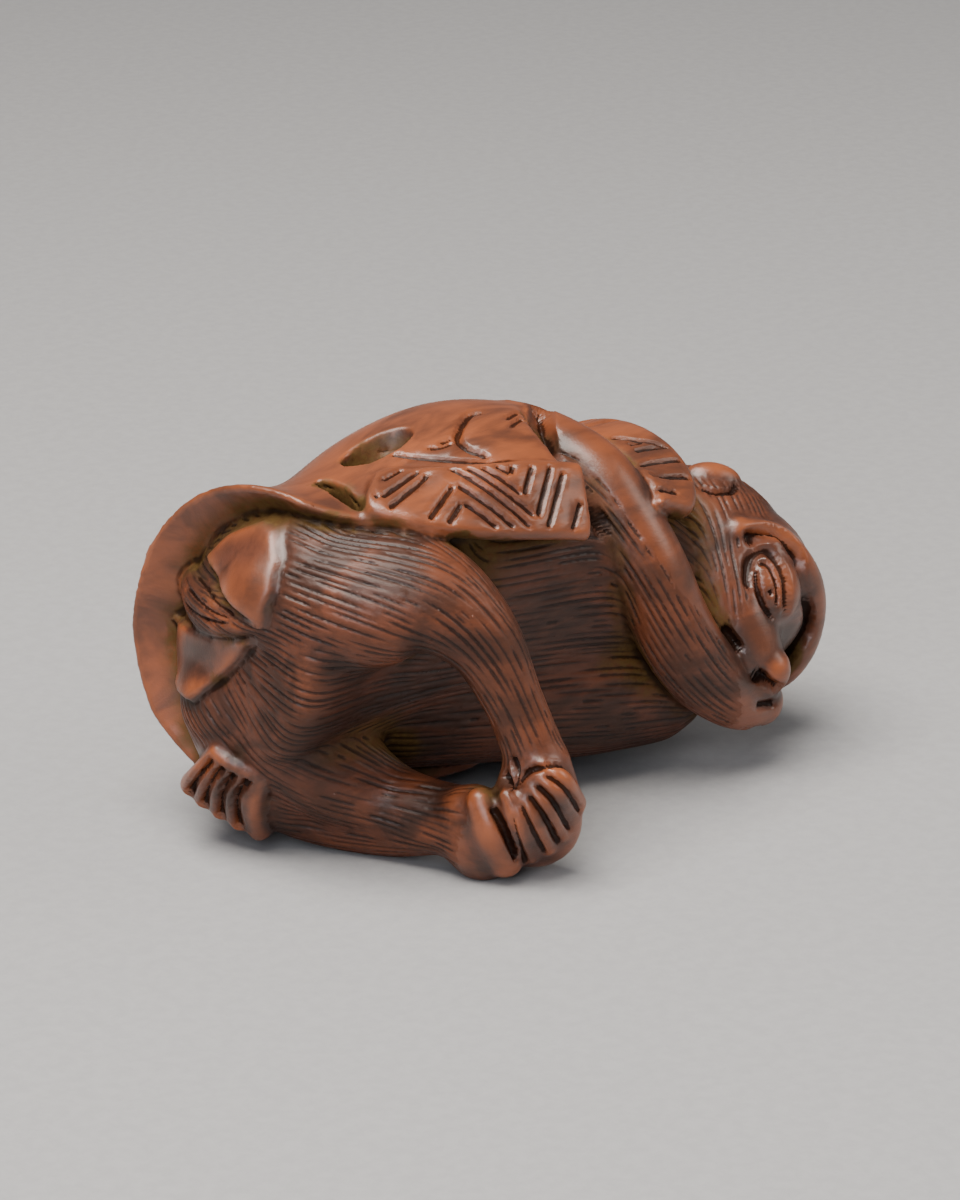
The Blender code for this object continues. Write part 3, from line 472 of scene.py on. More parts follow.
def joined(solids):
    """Points and faces of all the solids, as one list of each."""
    points, faces = [], []
    for solid_points, solid_faces in solids:
        start = len(points)
        points += [tuple(map(float, p)) for p in solid_points]
        faces += [tuple(start + i for i in face) for face in solid_faces]
    return points, faces


def worked(mesh, *modifiers):
    """What modifiers make of a mesh, each given by its kind and settings; the mesh itself is used up."""
    block = bpy.data.objects.new("block", mesh)
    bpy.context.scene.collection.objects.link(block)
    for kind, settings in modifiers:
        modifier = block.modifiers.new(kind.title(), kind)
        for name, value in settings.items():
            setattr(modifier, name, value)
    graph = bpy.context.evaluated_depsgraph_get()
    made = bpy.data.meshes.new_from_object(block.evaluated_get(graph))
    bpy.data.objects.remove(block)
    bpy.data.meshes.remove(mesh)
    return made


def fused(solids, voxel, smoothing):
    """One closed skin round all the solids."""
    return worked(mesh_of(*joined(solids)), ("REMESH", {"mode": "VOXEL", "voxel_size": voxel}),
                  ("SMOOTH", {"factor": 0.5, "iterations": smoothing}))


def as_solid(mesh):
    """Points and faces of a mesh, which is used up."""
    points = [tuple(v.co) for v in mesh.vertices]
    faces = [tuple(p.vertices) for p in mesh.polygons]
    bpy.data.meshes.remove(mesh)
    return points, faces


def cut_out(mesh, tool):
    """The mesh less a tool."""
    cutter = bpy.data.objects.new("tool", mesh_of(*tool))
    bpy.context.scene.collection.objects.link(cutter)
    made = worked(mesh, ("BOOLEAN", {"operation": "DIFFERENCE", "solver": "EXACT", "object": cutter}))
    bpy.data.objects.remove(cutter)
    return made


def cord_channel():
    """The two cord holes in the coat's right side and the bent channel that joins them."""
    r = CORD_HOLE
    return limb(((-7.6, 14.0, -9.2, r * 1.15, r * 1.9), (-7.9, 11.2, -7.6, r * 1.1, r * 1.75),
                 (-9.4, 8.5, -5.4, r, r), (-11.6, 7.7, -4.2, r * 0.9, r * 0.8),
                 (-12.9, 8.9, -4.0, r * 1.3, r * 0.5), (-13.2, 11.2, -4.5, r * 1.8, r * 0.42),
                 (-13.3, 13.6, -5.3, r * 2.0, r * 0.45)), (1, 0.3, 0))


def vertex_data(mesh):
    count = len(mesh.vertices)
    points = np.empty(count * 3)
    normals = np.empty(count * 3)
    mesh.vertices.foreach_get("co", points)
    mesh.vertices.foreach_get("normal", normals)
    return points.reshape(-1, 3), normals.reshape(-1, 3)


def tree_of_points(points):
    tree = KDTree(len(points))
    for i, point in enumerate(points):
        tree.insert(point, i)
    tree.balance()
    return tree


def nearest_face_tree(mesh):
    return BVHTree.FromPolygons([v.co for v in mesh.vertices], [tuple(p.vertices) for p in mesh.polygons])


def line_on_skin(tree, route, width):
    """Closely spaced points on the skin along a route, and the skin's normals there."""
    samples = curve_through(route, 6) if len(route) > 2 else np.linspace(route[0], route[-1], 8)
    fine = [samples[0]]
    for a, b in zip(samples[:-1], samples[1:]):
        steps = max(1, int(np.linalg.norm(b - a) / (width * 0.2)))
        fine += [a + (b - a) * (i + 1) / steps for i in range(steps)]
    line, facing = [], []
    for sample in fine:
        place, normal, _, distance = tree.find_nearest(Vector(sample))
        if distance < 1.6:
            line.append(place)
            facing.append(normal)
    return np.array(line), np.array(facing)


def carve(mesh, strokes):
    """Presses each stroke into the surface: points near it, width, depth, and how much its ends taper."""
    tree = nearest_face_tree(mesh)
    points, normals = vertex_data(mesh)
    by_place = tree_of_points(points)
    moves = np.zeros(len(points))
    for route, width, depth, taper in strokes:
        line, facing = line_on_skin(tree, route, width)
        if len(line) < 2:
            continue
        reach = width / 2
        near = sorted({i for place in line[::2] for _, i, _ in by_place.find_range(place, reach * 1.15)})
        if not near:
            continue
        gaps = np.linalg.norm(points[near, None, :] - line[None, :, :], axis=2)
        closest = gaps.argmin(axis=1)
        share = closest / (len(line) - 1)
        ends = np.minimum(share, 1 - share) / max(taper, 1e-6)
        strength = smoothstep(0.0, 1.0, np.clip(ends, 0, 1)) if taper > 0 else 1.0
        same_side = np.einsum("ij,ij->i", normals[near], facing[closest]) > 0.0
        profile = np.clip(1.0 - gaps.min(axis=1) / reach, 0, 1) ** 0.8 * strength * same_side * depth
        moves[near] = np.where(np.abs(profile) > np.abs(moves[near]), profile, moves[near])
    points -= normals * moves[:, None]
    mesh.vertices.foreach_set("co", points.ravel())
    mesh.update()


def inside_outline(flat, outline):
    """How far each point of y and z lies inside a closed outline, in millimetres; outside it is below zero."""
    corners = np.array(outline)
    near = np.full(len(flat), 1e9)
    winding = np.zeros(len(flat), bool)
    for a, b in zip(corners, np.roll(corners, -1, axis=0)):
        along = np.clip(((flat - a) @ (b - a)) / ((b - a) @ (b - a)), 0, 1)
        near = np.minimum(near, np.linalg.norm(flat - a - along[:, None] * (b - a), axis=1))
        crosses = (a[1] > flat[:, 1]) != (b[1] > flat[:, 1])
        meets = a[0] + (flat[:, 1] - a[1]) * (b[0] - a[0]) / (b[1] - a[1] + 1e-12)
        winding ^= crosses & (flat[:, 0] < meets)
    return np.where(winding, near, -near)


def raise_pads(mesh, pads, height, edge):
    """Raises flat-topped pads on the seat, away from the body, inside outlines of y and z."""
    points, normals = vertex_data(mesh)
    seat = ((points[:, 0] < SEAT_BELOW) & (normals[:, 0] < -0.15)).nonzero()[0]
    flat = points[seat][:, 1:]
    for outline in pads:
        inside = inside_outline(flat, outline)
        groove = np.exp(-((inside + edge * 0.8) / (edge * 0.8)) ** 2)
        lift = height * smoothstep(-edge * 0.2, edge, inside) - 0.35 * height * groove
        points[seat, 0] -= lift * smoothstep(0.15, 0.5, -normals[seat, 0])
    mesh.vertices.foreach_set("co", points.ravel())
    mesh.update()


def on_strap(route, lift, places):
    """Points on a strap, from how far along it and how far across it they lie."""
    middles, sides, _ = laid_on_coat(route, lift)
    along = np.concatenate([[0.0], np.cumsum(np.linalg.norm(np.diff(middles, axis=0), axis=1))])
    points = []
    for run, across in places:
        middle = [np.interp(run, along, middles[:, i]) for i in range(3)]
        side = [np.interp(run, along, sides[:, i]) for i in range(3)]
        points.append(np.array(middle) + np.array(side) * across)
    return points


def strap_length(route):
    middles = laid_on_coat(route)[0]
    return float(np.linalg.norm(np.diff(middles, axis=0), axis=1).sum())


def fret_lines(length):
    """Lines of the key fret over a band of that length: two points along and across it, and a width."""
    half = BAND_WIDTH / 2 - 0.3
    lowest = 0.8 - half
    lines = []

    def falling(run, across, low, high):
        ends = [(run + FRET_FALL * (across - at), at) for at in (high, low)]
        lines.append((*ends, FRET_THIN))

    def rising(run, across, low, high):
        ends = [(run + FRET_RISE * (at - across), at) for at in (low, high)]
        lines.append((*ends, FRET_WIDTH))

    for valley in np.arange(FRET_START, length + FRET_PERIOD, FRET_PERIOD):
        for n in range(3):
            tip = lowest + FRET_SPACING * n
            falling(valley - 0.6 * n, tip, tip, half)
            rising(valley - 0.6 * n, tip, tip, half)
        falling(valley - FRET_LINES, lowest, -half, half)
        rising(valley + 1.1, lowest, -half, half - 0.5)
        for k in (2, 3):
            tip = lowest + 5.4 - 1.45 * k
            run = valley - FRET_LINES * k - FRET_FALL * (tip - lowest)
            falling(run, tip, -half, tip)
            rising(run, tip, -half, tip)
    kept = []
    for a, b, width in lines:
        if a[0] > b[0]:
            a, b = b, a
        ends = np.clip([a[0], b[0]], 0.6, length - 0.5)
        if ends[1] - ends[0] > 0.25:
            kept.append(([(run, float(np.interp(run, (a[0], b[0]), (a[1], b[1])))) for run in ends], width))
    return kept


def on_collar(line, side):
    """Points on the collar, from how far across it and at how many degrees they lie, on either side."""
    points = []
    degrees, middles = np.array(COLLAR_ROUTE)[::-1, 1], np.array(COLLAR_ROUTE)[::-1, 0]
    for across, angle in line:
        x = np.interp(angle, degrees, middles) + across
        point = skin_point(SMOOTH_COAT, x, np.array(math.radians(angle)), 1.6)
        points.append(point * np.array([1, side, 1]))
    return points


def fret_strokes():
    """The key fret along both front bands, and cross cuts round the collar."""
    cuts = []
    for route, side in ((BAND_ROUTE, 1), (mirrored_route(BAND_ROUTE), -1)):
        for line, width in fret_lines(strap_length(route)):
            places = [(run, across * side) for run, across in line]
            cuts.append((on_strap(route, BAND_THICKNESS, places), width))
    for side in (1, -1):
        lines = []
        for angle in (19, 10, 0, -38, -48, -58):
            reach = 1.9 - max(0, angle - 10) * 0.09
            lines.append(((-reach, angle), (reach, angle)))
        for angle in (-9, -68):
            lines += [((-1.2, angle), (1.7, angle)), ((1.7, angle), (-1.6, angle - 13)),
                      ((-1.0, angle - 5), (0.3, angle - 5))]
        cuts += [(on_collar(line, side), FRET_WIDTH) for line in lines]
    cuts.append((on_collar(((-1.8, -90), (1.9, -90)), 1), FRET_WIDTH))
    return [(route, width, FRET_DEPTH, 0.12) for route, width in cuts]


def both_sides(route):
    return [route, tuple((x, -y, z) for x, y, z in route)]


def face_strokes():
    """The deep furrow under the fringe, the socket, eyelids, pupil and mouth, on both sides of the face."""
    brow = ((17.6, 6.2, 5.2), (18.5, 6.4, 5.1), (19.7, 6.3, 5.1), (20.8, 5.9, 5.5), (21.6, 5.2, 6.5),
            (21.7, 5.1, 7.2), (21.6, 4.8, 7.9), (21.7, 4.2, 8.5), (22.0, 3.4, 8.9), (22.4, 2.5, 9.1),
            (23.0, 1.1, 9.3), (23.3, -0.1, 9.3), (23.1, -1.2, 9.8))
    socket = ((17.0, 4.6, 8.4), (16.8, 5.0, 7.6), (17.3, 5.1, 6.7), (18.1, 5.4, 6.1), (19.0, 5.9, 6.2),
              (19.4, 6.0, 7.2), (19.4, 5.5, 8.5), (19.2, 4.4, 9.7), (19.4, 2.6, 10.3))
    lower_lid = ((17.7, 5.5, 6.9), (17.3, 4.7, 8.0), (17.4, 4.0, 9.2), (18.1, 3.2, 10.1))
    upper_lid = ((17.9, 5.5, 6.7), (18.5, 5.8, 7.2), (18.6, 5.5, 8.2), (18.5, 4.8, 9.2), (18.3, 3.7, 9.9))
    pupil = ((17.95, 4.95, 8.7), (18.05, 4.65, 9.1))
    mouth = ((14.2, 2.6, 8.8), (14.8, 2.2, 9.4), (15.1, 1.8, 10.9))
    under_ear = ((17.4, 6.6, 0.0), (18.2, 6.8, 1.0), (19.5, 6.8, 1.3), (20.8, 6.4, 0.7))
    cuts = ((brow, 1.5, 0.95, 0.08), (socket, 1.1, 0.5, 0.12), (lower_lid, 0.6, 0.4, 0.15),
            (upper_lid, 0.7, 0.45, 0.15), (pupil, 0.7, 0.35, 0.1), (mouth, 0.9, 0.7, 0.25),
            (under_ear, 0.8, 0.6, 0.2))
    return [(side, *cut) for route, *cut in cuts for side in both_sides(route)]


def coat_strokes():
    """The armholes, and the scroll, the marks and the crease on each side of the coat."""
    armhole = ((6.0, 10.6, -6.6), (5.2, 11.4, -5.6), (4.1, 11.8, -4.4), (3.4, 11.9, -2.9), (3.0, 12.0, -1.4),
               (2.7, 12.1, 0.6), (2.8, 11.8, 3.0))
    scroll = ((0.3, 12.8, -6.0), (-1.1, 12.4, -6.3), (-2.8, 12.8, -5.4), (-4.0, 12.9, -4.3), (-4.1, 13.2, -3.1),
              (-3.7, 13.5, -2.4), (-3.4, 13.7, -1.6))
    marks = (((-6.5, 12.5, -4.8), (-5.5, 12.9, -4.3), (-4.1, 12.9, -4.3)),
             ((-5.5, 12.8, -4.6), (-3.9, 12.9, -4.7)),
             ((0.2, 13.3, -4.7), (2.9, 12.3, -5.7)),
             ((-0.4, 13.6, -3.7), (3.4, 11.6, -5.2)))
    crease = ((-8.8, 9.6, -7.4), (-8.0, 11.6, -5.4), (-6.8, 12.8, -3.7), (-4.3, 13.6, -1.8), (-1.5, 14.0, -0.8))
    arm_side = ((3.0, 12.4, -0.6), (3.4, 11.9, 0.4), (3.9, 11.0, 1.7), (4.3, 10.0, 2.9), (4.5, 9.0, 3.9))
    strokes = [(side, 1.8, 1.3, 0.1) for side in both_sides(armhole)] + [(arm_side, 1.6, 0.9, 0.3)]
    strokes += [(side, 0.8, 0.5, 0.15) for side in both_sides(scroll)]
    return strokes + [(side, 0.6, 0.3, 0.3) for mark in (*marks, crease) for side in both_sides(mark)]


def limb_strokes():
    """The clenched hand, the lines between toes and between fingers, the sole and the tail."""
    sole = ((-9.3, 1.6, 15.3), (-8.6, 2.8, 15.1), (-7.8, 3.5, 15.6), (-6.3, 3.2, 16.3), (-5.6, 2.5, 16.9))
    strokes = [
        (((15.6, 0.8, 12.0), (16.8, 0.1, 12.8), (18.2, -0.6, 13.2)), 1.2, 0.95, 0.25),
        (((15.9, -1.3, 13.3), (18.3, -2.0, 13.2)), 0.8, 0.5, 0.2),
        (((15.6, -3.4, 13.4), (18.0, -3.9, 13.2)), 0.8, 0.5, 0.2),
        (((-10.3, 0.1, 14.9), (-9.7, -1.2, 16.4), (-8.6, -3.2, 17.5)), 0.7, 0.6, 0.1),
        (((-8.8, 1.4, 13.7), (-9.1, 1.5, 14.6), (-9.4, 1.6, 15.3)), 0.9, 0.7, 0.1),
        (((-9.4, 1.6, 15.3), (-8.7, 2.3, 14.5), (-8.7, 2.8, 13.6)), 0.8, 0.6, 0.1),
        (sole, 0.7, 0.5, 0.1),
    ]
    strokes += [(toe_line(k / 4, 0.8), 0.55, 0.3, 0.12) for k in range(5)]
    for k in range(4):
        share = (k + 0.5) / 4
        bent = share ** 1.5
        between_fingers = ((-20.6 + 1.8 * bent, -6.4, 0.3 + 2.9 * share),
                           (-20.9 + 1.9 * bent, -8.8, -0.2 + 3.6 * share),
                           (-19.9 + 2.2 * bent, -11.6, -1.2 + 5.0 * share))
        strokes.append((between_fingers, 0.9, 0.75, 0.1))
    for side in (-1, 0, 1):
        down_the_tail = ((-18.4, 0.1 + side * 0.9, -8.2),
                         (-20.2, 2.4 + side * 0.6, -4.2),
                         (-21.0, 4.4 + side * 0.2, -1.4))
        strokes.append((down_the_tail, 0.4, 0.22, 0.2))
    return strokes


# The two bare pads of the seat: outlines of y and z, on the skin below this x
SEAT_BELOW = -15.5
SEAT_PADS = (
    ((3.0, -8.2), (6.0, -7.4), (8.8, -5.6), (9.4, -4.2), (8.9, -2.2), (7.6, -0.7), (5.3, 0.1), (4.6, -3.0)),
    ((-3.7, -9.2), (-1.2, -6.0), (0.6, -3.6), (3.6, -0.3), (0.1, -1.2), (-4.3, -2.5), (-6.0, -6.0)),
)


def plain_skin():
    """The figure as one closed skin, before the lines are cut."""
    flesh = as_solid(fused([trunk(), chest(), *legs(), *feet()], FLESH_VOXEL, 12))
    dressed = [flesh, coat(), *front_bands(), collar(), *arms(), *left_hand(), *head(), *toes()]
    whole = fused(dressed, FINAL_VOXEL, 3)
    raise_pads(whole, SEAT_PADS, 0.55, 0.25)
    whole = cut_out(whole, cord_channel())
    return fused([as_solid(whole), tail()], FINAL_VOXEL, 1)


def rested(mesh):
    """Laid on its side, cut flat where it rests, centred and scaled to metres."""
    mesh.transform(Matrix.Rotation(math.radians(ROLL_DEG), 4, "X"))
    bm = bmesh.new()
    bm.from_mesh(mesh)
    floor = min(v.co.z for v in bm.verts) + REST_FLAT
    everything = [*bm.verts, *bm.edges, *bm.faces]
    bmesh.ops.bisect_plane(bm, geom=everything, plane_co=(0, 0, floor), plane_no=(0, 0, 1), clear_inner=True)
    bmesh.ops.holes_fill(bm, edges=[e for e in bm.edges if e.is_boundary])
    low = [min(v.co[i] for v in bm.verts) for i in range(3)]
    high = [max(v.co[i] for v in bm.verts) for i in range(3)]
    scale = FIGURE_LENGTH / (high[0] - low[0])
    middle = [-(low[i] + high[i]) / 2 for i in (0, 1)]
    bm.transform(Matrix.Scale(scale, 4) @ Matrix.Translation((*middle, -floor)))
    bm.to_mesh(mesh)
    bm.free()


def thinned(mesh, faces_kept):
    """The same skin in fewer triangles, worked at the size at which the figure is laid out."""
    ratio = faces_kept / (2.0 * len(mesh.polygons))
    return worked(mesh, ("DECIMATE", {"ratio": ratio, "use_collapse_triangulate": True}))


# Hair, in millimetres: a fine graver's cuts, side by side, laid in short steps. No two cuts meet within
# CROWDED of their spacing, a cut ends where it would turn by more than 60 degrees, and short ones are left out
HAIR_WIDTH = 0.3
HAIR_DEPTH = 0.16
HAIR_STEP = 0.16
CROWDED = 0.7
COS_SHARPEST_TURN = 0.5
FEWEST_STEPS = 6
SPREAD_OF_LENGTHS = (0.55, 1.5)
SPREAD_OF_DEPTHS = (0.6, 1.15)
# How steeply the pull of a guide on the hair falls off, and the gap at which it stops growing
PULL_POWER = 6
CLOSEST_PULL = 0.3
CELLS_ROUND = tuple(itertools.product((-1, 0, 1), repeat=3))


# Hair of the hips, from the seat along each thigh to the knee and down the shin to the foot: x, y, z and reach
THIGH_HAIR = (
    ((-17.5, 9.0, -5.0, 3.0), (-16.5, 10.5, -1.0, 3.0), (-14.0, 11.0, 2.5, 3.0), (-11.5, 10.5, 5.0, 2.6),
     (-9.2, 8.2, 7.6, 2.4), (-7.6, 5.2, 10.8, 2.2), (-6.6, 2.6, 13.4, 2.1)),
    ((-19.0, 3.0, -3.0, 3.0), (-18.0, 4.0, 1.0, 3.0), (-15.5, 4.5, 3.5, 3.0), (-12.0, 4.5, 5.0, 3.0),
     (-8.5, 3.5, 6.0, 3.0), (-4.0, 3.0, 6.5, 3.0)),
    ((-19.0, -3.0, -3.0, 3.0), (-18.6, -4.5, 1.0, 3.0), (-16.8, -5.5, 4.5, 3.0), (-14.0, -5.5, 7.5, 3.0),
     (-11.4, -4.8, 10.5, 2.6), (-9.6, -3.6, 13.4, 2.4)),
    ((-17.5, -9.0, -6.0, 3.0), (-17.5, -10.5, -1.5, 3.0), (-16.0, -11.2, 2.0, 3.0), (-13.5, -10.8, 5.0, 3.0),
     (-11.3, -8.8, 8.6, 2.8), (-9.8, -5.6, 12.4, 2.6)),
    ((-12.0, 10.0, -8.0, 3.0), (-10.5, 12.0, -3.0, 3.0), (-10.0, 11.5, 2.0, 3.0), (-9.4, 10.0, 5.4, 2.4)),
)
# Locks of the head: from the crown and the temples towards the muzzle, and down the nape
HEAD_HAIR = (
    ((19.5, 5.5, -1.0, 3.0), (18.6, 6.2, 2.5, 3.0), (17.4, 5.4, 6.0, 3.0), (16.6, 3.6, 8.8, 2.5)),
    ((19.5, -5.5, -1.0, 3.0), (18.6, -6.2, 2.5, 3.0), (17.4, -5.4, 6.0, 3.0), (16.6, -3.6, 8.8, 2.5)),
    ((24.5, 0.0, 4.0, 4.0), (24.2, 0.0, 0.0, 4.0), (21.5, 0.0, -4.0, 4.0), (17.0, 0.0, -6.0, 4.0)),
)
# Bare places: middle and half sizes of ellipsoids
BARE = (
    ((23.5, 0.0, 6.5), (5.5, 7.5, 6.5)),
    ((18.5, 0.0, 11.0), (4.5, 5.6, 5.2)),
    ((17.5, -2.4, 12.6), (3.0, 4.0, 3.4)),
    ((19.5, 5.0, 7.5), (3.0, 3.0, 3.5)),
    ((19.5, -5.0, 7.5), (3.0, 3.0, 3.5)),
    ((-7.6, -1.6, 16.4), (4.8, 6.2, 3.2)),
    ((-17.8, -9.0, 1.0), (3.4, 4.0, 3.4)),
)


def hair_guides():
    """Points where the way that the hair is combed is known: place, way, and how far its pull reaches."""
    rows = []
    lines = [(line, 1.0) for line in (RIGHT_ARM, LEFT_ARM, TAIL, *THIGH_HAIR, *HEAD_HAIR)]
    # The broad trunk and chest pull less, so that the hair of each limb follows the limb
    middle_line = [(x, yc, zc, wide, front) for x, yc, zc, wide, front, _ in TRUNK if x > -12.0]
    lines += [(CHEST, 0.8), (middle_line, 0.7)]
    for line, pull in lines:
        smooth = curve_through([(*row[:4], row[-1]) for row in line], 5)
        ways = np.gradient(smooth[:, :3], axis=0)
        ways /= np.linalg.norm(ways, axis=1)[:, None]
        rows.append(np.hstack([smooth[:, :3], ways, pull * smooth[:, 3:5].mean(axis=1)[:, None]]))
    return np.vstack(rows)


def pad_cover(points, grown):
    """Where points lie on the seat inside the outlines of the two pads."""
    covered = np.zeros(len(points), bool)
    for outline in SEAT_PADS:
        covered |= inside_outline(points[:, 1:], outline) > -grown
    return covered & (points[:, 0] < SEAT_BELOW)


def face_rows(mesh):
    """Middles and normals of a mesh's faces."""
    count = len(mesh.polygons)
    middles = np.empty(count * 3)
    normals = np.empty(count * 3)
    mesh.polygons.foreach_get("center", middles)
    mesh.polygons.foreach_get("normal", normals)
    return middles.reshape(-1, 3), normals.reshape(-1, 3)


def tree_of(solids):
    return BVHTree.FromPolygons(*joined(solids))


def hair_cover(middles):
    """Which faces carry hair, and which are cloth: each takes the form whose skin is nearest."""
    right_arm, left_arm = arms()
    skull, brow, fringe, muzzle, *cheeks_and_ears = head()
    cloth = tree_of([coat(), *front_bands(), collar()])
    hairy = tree_of([trunk(), chest(), *legs(), left_arm, skull, brow, muzzle])
    bare = tree_of([*left_hand(), *toes(), fringe, *cheeks_and_ears, cord_channel()])
    arm = tree_of([right_arm])
    gaps = np.empty((len(middles), 4))
    for i, middle in enumerate(middles):
        place = Vector(middle)
        for k, tree in enumerate((cloth, hairy, bare, arm)):
            gaps[i, k] = tree.find_nearest(place)[3]
    # The bent arm is smoothed by handling on the side towards the head
    heights, middle_line = np.array(RIGHT_ARM)[:, 2], np.array(RIGHT_ARM)[:, 0]
    rubbed_side = middles[:, 0] > np.interp(middles[:, 2], heights, middle_line) - 1.7
    gaps[:, 2] = np.where(rubbed_side, np.minimum(gaps[:, 2], gaps[:, 3]), gaps[:, 2])
    gaps[:, 1] = np.where(rubbed_side, gaps[:, 1], np.minimum(gaps[:, 1], gaps[:, 3]))
    is_cloth = gaps[:, 0] < gaps[:, 1:].min(axis=1) + 0.15
    has_hair = ~is_cloth & (gaps[:, 1] < gaps[:, 2] + 0.1)
    for middle, reach in BARE:
        has_hair &= (((middles - np.array(middle)) / np.array(reach)) ** 2).sum(axis=1) > 1.0
    has_hair &= ~pad_cover(middles, 0.25)
    return has_hair, is_cloth


def squared_gap(a, b):
    return (a[0] - b[0]) ** 2 + (a[1] - b[1]) ** 2 + (a[2] - b[2]) ** 2


def combed(tree, middles, normals, has_hair, spacing, length):
    """Evenly spaced strokes that follow the lie of the hair, each cut up to its own length."""
    dice = np.random.default_rng(7)
    guides = hair_guides()
    places, ways, reaches = guides[:, :3], guides[:, 3:6], guides[:, 6]
    taken = {}

    def crowd(point, gap, own):
        cell = (point // spacing).astype(int)
        for i, j, k in CELLS_ROUND:
            for other, owner in taken.get((cell[0] + i, cell[1] + j, cell[2] + k), ()):
                if owner != own and squared_gap(point, other) < gap * gap:
                    return True
        return False

    def way_at(point, normal):
        apart = np.linalg.norm(places - point, axis=1)
        pull = (reaches / (apart + CLOSEST_PULL)) ** PULL_POWER
        way = pull @ ways
        way = way - normal * (way @ normal)
        size = np.linalg.norm(way)
        return way / size if size > 1e-9 else None

    def walk(point, normal, sign, want, number):
        """Steps over the skin from a point, with the hair or against it, as far as the cut may go."""
        line = []
        heading = None
        travelled = 0.0
        while travelled < want:
            way = way_at(point, normal)
            if way is None:
                break
            way = way * sign
            if heading is not None and way @ heading < COS_SHARPEST_TURN:
                break
            heading = way
            place, face_normal, face, _ = tree.find_nearest(Vector(point + way * HAIR_STEP))
            if place is None or not has_hair[face] or face_normal.dot(Vector(normal)) < COS_SHARPEST_TURN:
                break
            point, normal = np.array(place), np.array(face_normal)
            if crowd(point, spacing * CROWDED, number):
                break
            line.append(point)
            travelled += HAIR_STEP
        return line

    strokes = []
    order = has_hair.nonzero()[0]
    dice.shuffle(order)
    for number, seed in enumerate(order):
        start, normal = middles[seed], normals[seed]
        if crowd(start, spacing, -1):
            continue
        want = length * dice.uniform(*SPREAD_OF_LENGTHS) / 2
        back, onwards = (walk(start, normal, sign, want, number) for sign in (-1, 1))
        route = [*back[::-1], start, *onwards]
        if len(route) < FEWEST_STEPS:
            continue
        for point in route:
            taken.setdefault(tuple((point // spacing).astype(int)), []).append((point, number))
        strokes.append((np.array(route), dice.uniform(*SPREAD_OF_DEPTHS)))
    return strokes


class Cuts:
    """Hair strokes held so that the depth of cut can be asked for at any points."""

    def __init__(self, strokes):
        points, ways, depths = [], [], []
        for line, depth in strokes:
            way = np.gradient(line, axis=0)
            way /= np.linalg.norm(way, axis=1)[:, None] + 1e-12
            share = np.linspace(0.0, 1.0, len(line))
            taper = smoothstep(0.0, 0.22, share) * smoothstep(0.0, 0.3, 1.0 - share)
            points.append(line)
            ways.append(way)
            depths.append(depth * (0.25 + 0.75 * taper))
        self.points, self.ways, self.depths = np.vstack(points), np.vstack(ways), np.hstack(depths)
        self.tree = tree_of_points(self.points)

    def share_at(self, points, normals):
        found = np.array([self.tree.find(p)[1:] for p in points])
        index, distance = found[:, 0].astype(int), found[:, 1]
        apart = points - self.points[index]
        way = self.ways[index]
        along = np.einsum("ij,ij->i", apart, way)
        out = np.einsum("ij,ij->i", apart, normals)
        across = np.sqrt(np.maximum(distance ** 2 - along ** 2 - out ** 2, 0.0))
        reach = HAIR_WIDTH / 2
        share = np.clip(1.0 - across / reach, 0.0, 1.0) * (distance < reach * 1.6 + HAIR_STEP)
        return share * self.depths[index]


# What the finish looks at: how far it looks for cover over each place, in millimetres, from how many places and
# along how many rays, and how many rounds of smoothing leave the broad forms and the fine ones
SHADE_REACH = 7.0
SHADE_PLACES = 12000
SHADE_RAYS = 28
BROAD_ROUNDS = 70
FINE_ROUNDS = 36


def shut_in(tree, middles, normals, reach):
    """How much of the open air over each place is closed off within reach, from 0 to 1."""
    dice = np.random.default_rng(11)
    rays = dice.normal(size=(SHADE_RAYS, 3))
    rays /= np.linalg.norm(rays, axis=1)[:, None]
    blocked = np.zeros(len(middles))
    for i, (middle, normal) in enumerate(zip(middles, normals)):
        facing = rays @ normal
        start = Vector(middle + normal * 0.12)
        total = 0.0
        for ray, lean in zip(rays, facing):
            way = ray if lean > 0 else -ray
            weight = abs(lean)
            total += weight
            hit = tree.ray_cast(start, Vector(way), reach)[3]
            if hit is not None:
                blocked[i] += weight * (1.0 - hit / reach)
        blocked[i] /= total
    return blocked


def swell(mesh, rounds):
    """How far each vertex stands out of the skin smoothed round it, in millimetres."""
    points, normals = vertex_data(mesh)
    count = len(mesh.edges)
    ends = np.empty(count * 2, int)
    mesh.edges.foreach_get("vertices", ends)
    ends = ends.reshape(-1, 2)
    touching = np.bincount(ends.ravel(), minlength=len(points)).astype(float)
    smooth = points.copy()
    for _ in range(rounds):
        total = np.empty_like(smooth)
        for axis in range(3):
            total[:, axis] = (np.bincount(ends[:, 0], smooth[ends[:, 1], axis], len(points))
                              + np.bincount(ends[:, 1], smooth[ends[:, 0], axis], len(points)))
        smooth += 0.5 * (total / touching[:, None] - smooth)
    return np.einsum("ij,ij->i", points - smooth, normals)


def stored(mesh, name, values):
    layer = mesh.attributes.new(name, "FLOAT", "POINT")
    layer.data.foreach_set("value", np.ascontiguousarray(values, dtype=np.float32))


# Depth of the hair's cut, cover over the place, height over its near and its wider surroundings, cloth and hair
FINISH_READS = ("hair_cut", "shut_in", "standing", "broad", "cloth", "hairy")


